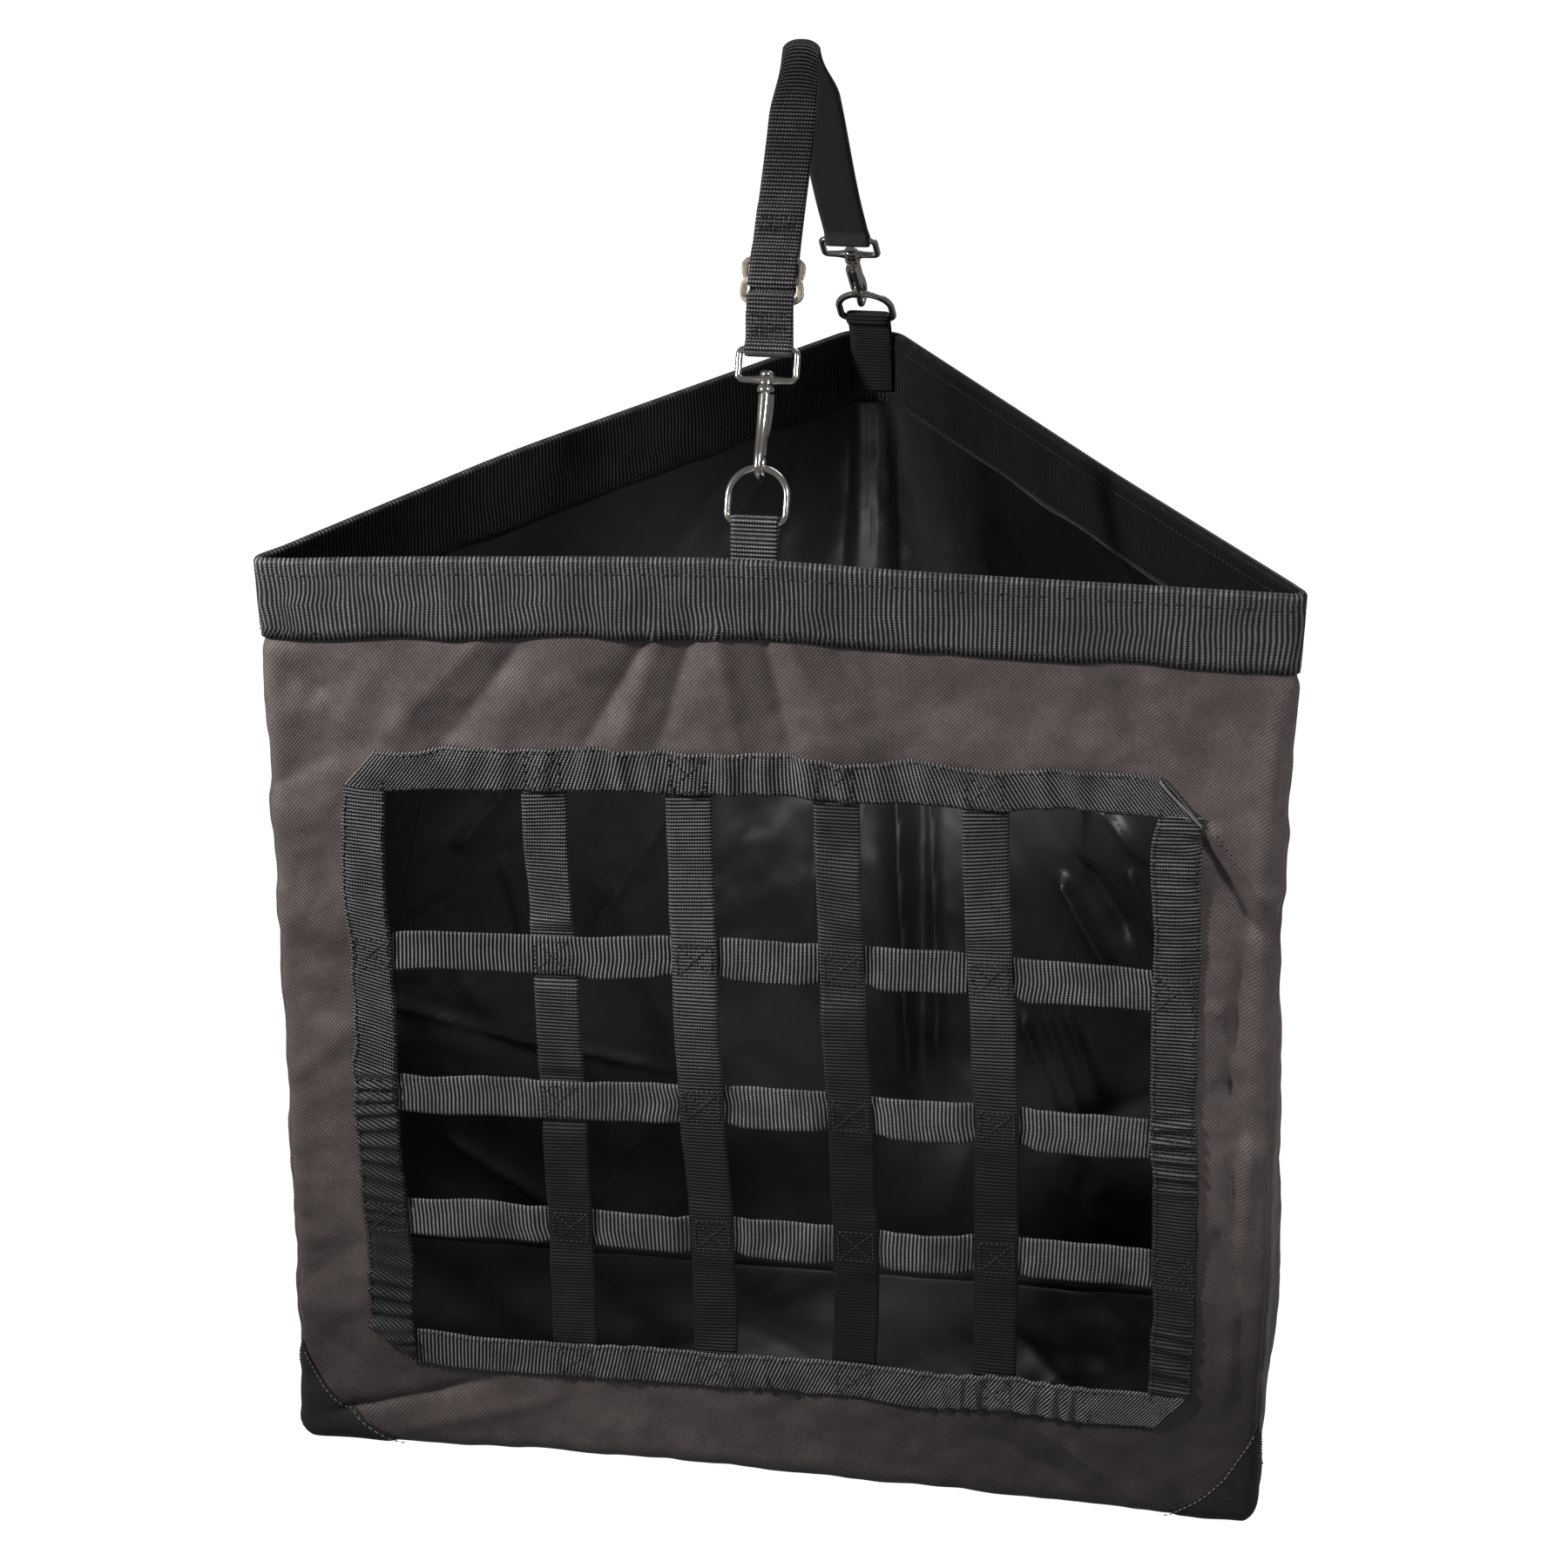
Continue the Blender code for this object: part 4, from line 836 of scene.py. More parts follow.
# painted shade: the binding's inner leaf is a darker copy of its webbing, painted darker still to
# the right
SHADED_WEB = web_material("webbing_inner_painted_shade", (0.170, 0.170, 0.175), rib=0.0026, bead=0.0014,
                          fades=((0, -0.10, 0.06, 0.10),))
# painted shade: the back tab is a much darker copy of the tab webbing
SHADED_TAB_WEB = web_material("webbing_tab_painted_shade", (0.060, 0.060, 0.063), (0.004, 0.004, 0.0045), rib=0.0020)
PATCH_WEB = web_material("patch_webbing", (0.055, 0.055, 0.057), (0.010, 0.010, 0.011),
                         rib=0.0013, bead=0.0011, bump=0.00016)
THREAD = thread_material("thread_black", (0.010, 0.010, 0.011), (0.045, 0.044, 0.046))
PALE_THREAD = thread_material("thread_grey", (0.10, 0.10, 0.10), (0.26, 0.25, 0.24))
NICKEL = metal_material("nickel", (0.80, 0.77, 0.73), (0.60, 0.56, 0.52), 0.14)
STEEL = metal_material("stamped_plate", (0.62, 0.56, 0.48), (0.44, 0.39, 0.32), 0.36)


# ------------------------------------------------------------ the bag's cloth
def build_cloth():
    hole_w = WINDOW_HALF + WEBBING / 2
    top, low = WINDOW_TOP - WEBBING / 2, WINDOW_BOTTOM + WEBBING / 2
    w = stations(-HALF, -hole_w, hole_w, HALF, step=0.0025)
    s = stations(0.0, top, low, BAG_HEIGHT, step=0.0025)
    mid_w, mid_s = (w[1:] + w[:-1]) / 2, (s[1:] + s[:-1]) / 2
    keep = ~((np.abs(mid_w)[None, :] < hole_w) & ((mid_s > top) & (mid_s < low))[:, None])
    front = cloth("bag_front", w, s, keep, nodes=("front_panel",))
    s = stations(0.0, BAG_HEIGHT, step=0.003)
    for word, a, b in (("right", HALF, ROUND[0]), ("left", -ROUND[0], -HALF)):
        side = cloth("bag_gusset_" + word, stations(a, b, step=0.0025), s,
                     nodes=("gusset_" + word,))
    turn = 2 * LAST

    def behind(w, s, out):
        return wall(np.where(w > LAST, w - turn, w), s, out)

    back = cloth("bag_back", stations(ROUND[0], LAST, turn - ROUND[0], step=0.0025), s,
                 place=behind, nodes=("back_panel",))
    build_floor_panel()


# folds of the bag's floor: ends (x, y) and height
FLOOR_FOLDS = [
    (((-0.20, 0.00), (-0.02, 0.10)), -0.006),
    (((0.02, 0.02), (0.20, 0.12)), 0.005),
    (((-0.10, 0.13), (0.10, 0.03)), -0.004),
    (((0.10, 0.13), (0.24, 0.0)), -0.004),
]


def build_floor_panel():
    """Bottom of the bag: a patch between the wall's four lower edges, sagging a little."""
    u = np.linspace(0.0, 1.0, 161)
    d = np.linspace(0.0, 1.0, 61)
    edge = BAG_HEIGHT - 0.0008
    inset = 0.0009

    def rim(w):
        return wall(w, np.full_like(w, edge), inset)

    front = rim(-HALF + BAG_WIDTH * u)
    right = rim(HALF + GUSSET * d)
    left = rim(-HALF - GUSSET * d)
    back_w = np.where(u < 0.5, -ROUND[0] - (LAST - ROUND[0]) * 2 * u,
                      ROUND[0] + (LAST - ROUND[0]) * 2 * (1 - u))
    back = rim(back_w)
    uu, dd = u[None, :, None], d[:, None, None]
    corner = (front[0] * (1 - uu) * (1 - dd) + front[-1] * uu * (1 - dd)
              + back[0] * (1 - uu) * dd + back[-1] * uu * dd)
    net = (front[None] * (1 - dd) + back[None] * dd + left[:, None] * (1 - uu)
           + right[:, None] * uu - corner)
    normal = unit(np.cross(np.gradient(net, axis=1), np.gradient(net, axis=0)))
    normal = np.where(normal[..., 2:] > 0, -normal, normal)
    x, y = net[..., 0], net[..., 1]
    inside = (uu * (1 - uu) * 4)[..., 0] ** 0.5 * (dd * (1 - dd) * 4)[..., 0] ** 0.5
    shape = 0.0035 * inside + inside * 0.0030 * rough(x, y, 0.055, 77, 3)
    for line, height in FLOOR_FOLDS:
        shape = shape + inside * fold(x, y, line, height, 0.010, 0.016)
    lower = net + normal * (shape + 0.0012)[..., None]
    upper = lower - normal * 0.0007
    points, faces, kinds = shell(lower, upper)
    uv = np.stack((x, y), -1).reshape(-1, 2)
    panel = mesh_piece("bag_bottom", points, faces, OXFORD, slot="oxford_fabric",
                       uv=np.concatenate((uv, uv)), kinds=kinds, others=(COATING,),
                       nodes=("bottom_panel",))


# ----------------------------------------------------------- mouth binding
def build_binding():
    """Ribbed webbing folded over the mouth edge, ribs square to the edge."""
    pitch = 0.0026
    outer, inner = FABRIC + GAP, -GAP
    thick = BINDING_THICK
    low = BINDING + 0.002
    leaf = np.linspace(low, 0.0035, 7)
    turn = np.linspace(0, math.pi, 6)
    middle, radius = (outer + inner) / 2, (outer - inner) / 2
    face_s = np.concatenate((leaf, -0.0004 - (radius + thick) * np.sin(turn) * 0.8,
                             leaf[::-1]))
    face_out = np.concatenate((np.full(len(leaf), outer + thick),
                               middle + (radius + thick) * np.cos(turn),
                               np.full(len(leaf), inner - thick)))
    under_s = np.concatenate((leaf, -0.0004 - radius * np.sin(turn) * 0.8, leaf[::-1]))
    under_out = np.concatenate((np.full(len(leaf), outer), middle + radius * np.cos(turn),
                                np.full(len(leaf), inner)))
    ring_s = np.concatenate((face_s, under_s[::-1]))
    ring_out = np.concatenate((face_out, under_out[::-1]))
    sign = np.concatenate((np.ones(len(face_s)), np.zeros(len(under_s))))
    reach = np.concatenate((leaf, np.zeros(len(turn)), -leaf[::-1]))
    across = np.concatenate((reach, reach[::-1]))
    ribs = int(round(2 * LAST / pitch))
    w = np.linspace(-LAST, LAST, ribs * 4, endpoint=False)
    ww, ss = np.meshgrid(w, ring_s, indexing="ij")
    oo = np.broadcast_to(ring_out, ww.shape)
    ends = np.exp(-((np.abs(ww) - HALF) / 0.035) ** 2)
    sway = (0.0012 + 0.0022 * ends) * lattice(ww, ss * 1.5, 0.018, 91) * np.clip(ss / 0.02, 0, 1)
    crest = rib_wave(ww, 2 * LAST / ribs)
    bulge = 0.00024 * (crest - 0.5) * sign
    wavy = (0.0014 + 0.0012 * ends) * rough(ww, ss, 0.034, 92, 2) * ease(ss / 0.03)
    wavy = wavy * np.where(oo > 0, 1.0, 0.25)
    outward = np.where(oo > middle, 1.0, -1.0)
    lift = np.clip(wavy, 0.0, None) * np.where(oo > middle, 1.0, 0.0)
    hem = 0.0017 * rough(ww, ww * 0, 0.050, 93, 2) * ease((ss - 0.02) / 0.02)
    points = wall(ww + sway, ss + hem, oo + outward * bulge + lift)
    n = ww.shape[1]
    faces = grid_quads(len(w), n, wrap=True)
    kinds = np.zeros((len(w), n), int)
    # faces of kind 1 take the painted-shade copy of the binding webbing: its inner leaf, and its
    # outer face too past the front corners
    kinds[:, len(leaf) + len(turn) - 1:len(face_s)] = 1
    kinds[np.abs(w) > HALF, len(leaf) - 1:len(face_s)] = 1
    k = np.arange(n)
    closing = np.stack((k + (len(w) - 1) * n, (k + 1) % n + (len(w) - 1) * n, (k + 1) % n, k), -1)
    uv = np.stack((np.broadcast_to(across, ww.shape), ww), -1).reshape(-1, 2)
    band = mesh_piece("bag_mouth_binding", points.reshape(-1, 3),
                      np.concatenate((faces, closing)), BIND_WEB, uv=uv, kinds=kinds.ravel(),
                      others=(SHADED_WEB,), nodes=("mouth_binding",))


# --------------------------------------------------- window frame and grid
COLUMNS = [(i - 1.5) * COLUMN_PITCH for i in range(4)]
FRAME_OUT = FABRIC + GAP + WEB_THICK / 2
FRAME_SIDE = WINDOW_HALF + WEBBING / 2
FRAME_LINE = {"top": WINDOW_TOP - WEBBING / 2, "bottom": WINDOW_BOTTOM + WEBBING / 2}
# gathers: seed, wavelength, height and where along the strip they are strong
GATHER = {
    "top": (201, 0.021, 0.0022, lambda t: 0.80),
    "bottom": (231, 0.0125, 0.0018, lambda t: 0.35 + 0.65 * ease((t + 0.18) / 0.20)),
    "left": (261, 0.0105, 0.0019, lambda t: 0.35 + 0.65 * ease((t - 0.19) / 0.06)),
    "right": (291, 0.0110, 0.0018, lambda t: 0.40 + 0.60 * ease((t - 0.20) / 0.06)),
}


def frame_surface(word, t, u, h):
    """Frame strip: t along it (x or s), u across towards the bag's edge, h off its middle."""
    seed, wavelength, height, where = GATHER[word]
    zero = np.zeros_like(t)
    drift = 0.005 * lattice(t, zero, 0.030, seed + 1) + u * 0.25 * lattice(t, zero, 0.04, seed + 3)
    strong = ease(0.55 + 0.8 * lattice(t, zero, 0.050, seed + 2)) * where(t)
    crest = 0.5 + 0.5 * np.sin(2 * math.pi * (t + drift) / wavelength)
    lift = height * strong * crest ** 1.5
    sway = 0.0019 * lattice(t, zero, 0.042, seed) + 0.0007 * lattice(t, u, 0.014, seed + 4)
    if word in FRAME_LINE:
        sign = -1.0 if word == "top" else 1.0
        return wall(t, FRAME_LINE[word] + sign * u + sway, FRAME_OUT + lift + h)
    sign = -1.0 if word == "left" else 1.0
    return wall(sign * (FRAME_SIDE + u) + sway, t, FRAME_OUT + lift + h)


def build_frame():
    """Four strips round the window; their corners are cut at 45 degrees."""
    cut = CORNER_CUT
    half_long = WINDOW_HALF + WEBBING
    top_end, low_end = WINDOW_TOP - 0.0015, WINDOW_BOTTOM + 0.0015
    rise = low_end - top_end
    for word in ("top", "bottom", "left", "right"):
        def place(u, v, h, word=word):
            share = np.clip((u + WEBBING / 2) / WEBBING, 0, 1)
            if word in FRAME_LINE:
                first = share * cut if word == "top" else WEBBING - 0.004
                t = -half_long + first + v / (2 * half_long) * (2 * half_long - first - share * cut)
                return frame_surface(word, t, u, h)
            over = 0.0215 * (1 - share) - 0.0030 if word == "left" else 0.0
            t = top_end - share * 0.0025 + v / rise * (rise + over + share * 0.0050)
            if word == "left":
                h = h + (WEB_THICK + GAP) * ease((t - low_end + 0.006) / 0.006)
            return frame_surface(word, t, u, h)

        length = 2 * half_long if word in FRAME_LINE else rise
        # the side strips take the painted-shade copy of the webbing
        strip = ribbon("frame_strip_" + word, length, WEBBING / 2, place,
                       material=WEB if word in FRAME_LINE else SHADED_SIDE_WEB,
                       nodes=("frame_" + word,))


FACE = FABRIC - WEB_THICK / 2
BEHIND = FACE - WEB_THICK - GAP
GRID_TOP, GRID_LOW = WINDOW_TOP - STRIP_END, WINDOW_BOTTOM + STRIP_END
GRID_REACH = WINDOW_HALF + STRIP_END
COLUMN_SWAY = ((0.0006, 0.06), (-0.0004, 0.02), (0.0010, 0.08), (0.0030, -0.26))


def hop(t, crossings):
    """Depth of a strip: level with the cloth, dipping behind at each crossing."""
    depth = np.full_like(t, FACE)
    reach, ramp = WEBBING / 2 + 0.0015, 0.009
    for where in crossings:
        share = ease((reach + ramp - np.abs(t - where)) / ramp)
        depth = depth - (FACE - BEHIND) * share
    return depth


def column_middle(i, s, share):
    """Where column i's middle line runs, across the window."""
    zero = np.zeros_like(s)
    sway = COLUMN_SWAY[i][0] * np.sin(math.pi * (s - GRID_TOP) / (GRID_LOW - GRID_TOP)) ** 2
    return COLUMNS[i] + sway + share * (0.0015 * lattice(s, zero, 0.085, 310 + i)
                                        + 0.0006 * lattice(s, zero, 0.030, 315 + i))


def column_surface(i, u, s, h):
    """Column i: u across, s down the front, h off its middle."""
    share = ease((s - GRID_TOP) / 0.03) * ease((GRID_LOW - s) / 0.03)
    zero = np.zeros_like(s)
    near = np.min([np.abs(s - row) for row in ROW_AT], 0)
    middle = column_middle(i, s, share)
    share = share * (0.15 + 0.85 * ease((near - WEBBING / 2 - 0.002) / 0.014))
    turn = share * (0.16 * lattice(s, zero, 0.070, 320 + i)
                    + COLUMN_SWAY[i][1] * np.exp(-((s - 0.205) / 0.045) ** 2))
    sag = share * (0.0022 * lattice(s, zero, 0.100, 330 + i)
                   + 0.0009 * lattice(s, u * 0.5, 0.028, 340 + i))
    out = hop(s, ROW_AT[:2] if i == 0 else ()) + sag + u * np.sin(turn) + h * np.cos(turn)
    return wall(middle + u * np.cos(turn) - h * np.sin(turn), s, out)


def row_surface(j, x, u, h):
    """Row j: x along it, u across and down, h off its middle."""
    share = ease((x + GRID_REACH) / 0.03) * ease((GRID_REACH - x) / 0.03)
    zero = np.zeros_like(x)
    at = np.array([float(column_middle(i, np.array([ROW_AT[j]]), 1.0)[0]) for i in range(4)])
    near = np.min([np.abs(x - c) for c in at], 0)
    free = share * ease((near - WEBBING / 2) / 0.012)
    sway = share * (0.0018 * lattice(x, zero, 0.060, 350 + j)
                    + 0.0007 * lattice(x, zero, 0.024, 353 + j))
    lean = 0.0012 * lattice(x, u * 4, 0.050, 355 + j)
    turn = free * (0.14 * lattice(x, zero, 0.045, 360 + j) + 0.08)
    sag = free * (0.0018 * lattice(x, zero, 0.050, 370 + j)
                  + 0.0007 * lattice(x, u, 0.014, 380 + j))
    out = hop(x, at if j == 2 else at[1:]) + sag + u * np.sin(turn) + h * np.cos(turn)
    return wall(x + lean, ROW_AT[j] + sway + u * np.cos(turn) - h * np.sin(turn), out)


def build_grid():
    """Four columns and three rows; the first column passes under the upper rows."""
    for i in range(4):
        def place(u, v, h, i=i):
            return column_surface(i, u, GRID_TOP + v, h)

        # the columns take the painted-shade copy of the webbing
        strip = ribbon("grid_column_%d" % (i + 1), GRID_LOW - GRID_TOP, WEBBING / 2, place,
                       material=SHADED_COLUMN_WEB, nodes=("grid_vertical_%d" % (i + 1),),
                       uv_shift=0.1 * i)
    for j in range(3):
        def place(u, v, h, j=j):
            return row_surface(j, v - GRID_REACH, u, h)

        strip = ribbon("grid_row_%d" % (j + 1), 2 * GRID_REACH, WEBBING / 2, place,
                       nodes=("grid_horizontal_%d" % (j + 1),), uv_shift=0.13 * j)


# --------------------------------------------------------------- corner patches
def hypotenuse(a):
    """Height of the patch's edge above the bag's bottom, a from the corner."""
    t = np.clip(np.abs(a) / PATCH, 0.0, 1.0)
    return PATCH_RISE * (1.0 - t) ** 1.35 * (1.0 - 0.30 * np.sin(math.pi * t)) + 0.0012


def build_patches():
    """Woven caps over the two bottom front corners."""
    for sign, word in ((-1.0, "left"), (1.0, "right")):
        a = np.linspace(-PATCH, PATCH, 61)
        b = np.linspace(0.0, 1.0, 25)
        aa, bb = np.meshgrid(a, b)
        s_edge = BAG_HEIGHT + 0.0006
        w = sign * (HALF + aa)
        s = s_edge - hypotenuse(aa) * (1.0 - bb)
        tip = ease((np.abs(aa) - PATCH + 0.014) / 0.012)
        s = s - 0.0020 * tip
        base = FABRIC + GAP - 0.0020 * tip
        outer, inner = wall(w, s, base + 0.0010), wall(w, s, base)
        points, faces, _ = shell(outer, inner, flip=sign > 0)
        uv = np.stack((aa + 0.6 * (s_edge - s), (s_edge - s) - 0.6 * aa), -1).reshape(-1, 2)
        uv = np.concatenate((uv, uv))
        # the cap's lower leaf, under the bottom panel
        ac, cc = np.meshgrid(np.linspace(0.0, PATCH, 31), b)
        base = FABRIC + GAP
        tip = ease((np.hypot(ac, cc * hypotenuse(ac)) - PATCH + 0.016) / 0.014)
        corner = wall(sign * HALF, s_edge, base)
        along = wall(sign * (HALF - ac), np.full_like(ac, s_edge), base - 0.0030 * tip)
        back = wall(sign * (HALF + PATCH), s_edge, base) - corner
        inward = back / PATCH
        under = along + inward * (hypotenuse(ac) * cc)[..., None]
        drop = np.array((0.0, math.sin(BOTTOM_RISE), -math.cos(BOTTOM_RISE)))
        depth = 0.0002 + 0.0016 * np.sin(0.5 * math.pi * np.minimum(cc * 4, 1))
        top = under + drop * (depth - 0.0036 * tip)[..., None]
        low = top + drop * 0.0010
        under_points, under_faces, _ = shell(low, top, flip=sign < 0)
        faces = np.concatenate((faces, under_faces + len(points)))
        points = np.concatenate((points, under_points))
        under_uv = np.stack((ac, cc * PATCH), -1).reshape(-1, 2)
        uv = np.concatenate((uv, under_uv, under_uv))
        patch = mesh_piece("corner_patch_" + word, points, faces, PATCH_WEB, uv=uv,
                           nodes=("patch_front_" + word,))


# ------------------------------------------------------------------- stitching
def stitch_mesh(rows, radius=0.00032, sides=6):
    """Short rounded stitches: each row is (start, end, outward), all of them at once."""
    start, end, out = (np.array([r[k] for r in rows], float) for k in range(3))
    axis = unit(end - start)
    out = unit(out - axis * np.sum(out * axis, -1, keepdims=True))
    across = np.cross(axis, out)
    t = np.array((0.0, 0.10, 0.35, 0.65, 0.90, 1.0))
    size = np.array((0.15, 0.75, 1.0, 1.0, 0.75, 0.15))
    rise = np.array((-0.4, 0.05, 0.45, 0.45, 0.05, -0.4))
    angle = np.linspace(0, 2 * math.pi, sides, endpoint=False)
    centre = start[:, None] + (end - start)[:, None] * t[:, None]
    centre = centre + out[:, None] * (rise * radius)[:, None]
    ring = (across[:, None, None] * np.cos(angle)[:, None]
            + out[:, None, None] * np.sin(angle)[:, None]) * (size * radius)[:, None, None]
    points = (centre[:, :, None] + ring).reshape(-1, 3)
    one = capped(len(t), sides)
    step = len(t) * sides
    faces = [[i + n * step for i in face] for n in range(len(start)) for face in one]
    return points, faces


def seam(line, place, length=0.0026, space=0.0011, jitter=0.00015):
    """Stitches along a line of (a, b) points, laid by place(a, b, height)."""
    line = np.asarray(line, float)
    at = travel(line)
    starts = np.arange(0.0005, at[-1] - length, length + space)
    ends = []
    for d in (starts, starts + length):
        a = np.interp(d, at, line[:, 0]) + RNG.uniform(-jitter, jitter, len(d))
        b = np.interp(d, at, line[:, 1]) + RNG.uniform(-jitter, jitter, len(d))
        ends.append((place(a, b, np.zeros_like(a)), place(a, b, np.full_like(a, 0.001))))
    (start, _), (end, above) = ends
    return list(zip(start, end, above - end))


def box_x(place, half=WEBBING / 2 - 0.0030):
    """Box of stitches with a cross in it, about the middle of place(a, b, h)."""
    a, b, c, d = (-half, -half), (half, -half), (half, half), (-half, half)
    rows = []
    for line in ((a, b, c, d, a), (a, c), (b, d)):
        rows += seam(line, place, 0.0021, 0.0008)
    return rows


ON_STRIP = WEB_THICK / 2 + RIB_HEIGHT / 2


def build_stitching():
    edge = WEBBING / 2 - 0.0018
    end = WINDOW_HALF + WEBBING - CORNER_CUT
    rows = []
    for word in ("top", "bottom", "left", "right"):
        def on_frame(t, u, h, word=word):
            return frame_surface(word, t, u, ON_STRIP + h)

        low, high = (-end, end) if word in FRAME_LINE else (WINDOW_TOP - 0.008,
                                                             WINDOW_BOTTOM + 0.008)
        for u in (-edge, edge):
            inward = 0.010 if word not in FRAME_LINE and u > 0 else 0.0
            rows += seam(((low + inward, u), (high - inward, u)), on_frame)
        for middle in COLUMNS if word in FRAME_LINE else ROW_AT:
            rows += box_x(lambda a, b, h, m=middle, f=on_frame: f(m + a, b, h))
    for i, x in enumerate(COLUMNS):
        for j, s in enumerate(ROW_AT):
            if i == 0 and j < 2:
                rows += box_x(lambda a, b, h, j=j, x=x: row_surface(j, x + a, b, ON_STRIP + h))
            else:
                rows += box_x(lambda a, b, h, i=i, s=s: column_surface(i, a, s + b, ON_STRIP + h))
    make_thread("stitching_window", stitch_mesh(rows, 0.00038), THREAD)
    # piping along the folded corner at the upper right
    t = np.linspace(0.0, 1.0, 24)
    out = FRAME_OUT + WEB_THICK / 2 + 0.0006 + 0.0004 * np.sin(math.pi * t)
    piping = wall(WINDOW_HALF + 0.0030 + 0.0230 * t,
                  WINDOW_TOP - WEBBING + 0.0020 + 0.0250 * t, out)
    make_thread("frame_corner_piping", tube(piping, 0.0007, 10), PALE_THREAD)
    rows = []
    around = np.arange(-LAST + 0.001, LAST, 0.004)
    proud = BINDING_THICK + 0.00025
    for s in (0.0062, BINDING - 0.0010):
        line = [(w, s) for w in around]
        for level, side in ((FABRIC + GAP + proud, 1.0), (-GAP - proud, -1.0)):
            rows += seam(line, lambda w, s, h, level=level, side=side:
                         wall(w, s, level + side * h), 0.0030, 0.0012)
    make_thread("stitching_mouth", stitch_mesh(rows), THREAD)
    rows = []
    for sign in (-1, 1):
        for low_a, high_a in ((-PATCH + 0.003, -0.001), (0.001, PATCH - 0.003)):
            line = [(sign * (HALF + a), BAG_HEIGHT + 0.002 - hypotenuse(a) + 0.0012)
                    for a in np.linspace(low_a, high_a, 30)]
            rows += seam(line, lambda w, s, h: wall(w, s, FABRIC + GAP + 0.0012 + h))
    make_thread("stitching_patches", stitch_mesh(rows, 0.00036), PALE_THREAD)


def make_thread(name, shape, material):
    """A piece of thread from its (vertices, faces)."""
    points, faces = shape
    mesh = bpy.data.meshes.new(name)
    mesh.from_pydata(points.tolist(), [], faces)
    mesh.materials.append(material)
    mesh.shade_smooth()
    visible(name, mesh, "root")


# ------------------------------------------------------------------- hardware
class Chain:
    """Straight run from the mouth up to the hook, measured up from its ring bar."""

    def __init__(self, word):
        self.word = word
        side = -1.0 if word == "front" else 1.0
        self.mouth = Vector(MOUTH)
        if word == "back":
            rise = Vector((0.0, math.cos(MOUTH_RISE), math.sin(MOUTH_RISE)))
            self.mouth += rise * MOUTH_DEPTH
        to_centre = Vector((0.0, 0.0, -HOOK_RADIUS)) - self.mouth
        lean = math.asin((HOOK_RADIUS + LINE_STAND) / to_centre.length) * side
        up = Matrix.Rotation(-lean, 3, "X") @ to_centre.normalized()
        self.up = np.array(up)
        self.out = np.array((0.0, up.z, -up.y)) * side
        self.mouth = np.array(self.mouth)
        self.bar = self.mouth + self.up * TAB_RISE

    def at(self, x, along, out):
        x, along, out = np.broadcast_arrays(np.asarray(x, float), along, out)
        return (self.bar + np.stack((x, 0 * x, 0 * x), -1) + self.up * along[..., None]
                + self.out * out[..., None])


def lathe(chain, profile, centre_out=0.0, sides=28):
    """Turned piece about the chain's line from (along, radius) pairs."""
    spin = np.linspace(0, 2 * math.pi, sides, endpoint=False)
    rings = [chain.at(r * np.cos(spin), a, centre_out + r * np.sin(spin)) for a, r in profile]
    return np.concatenate(rings), capped(len(profile), sides)


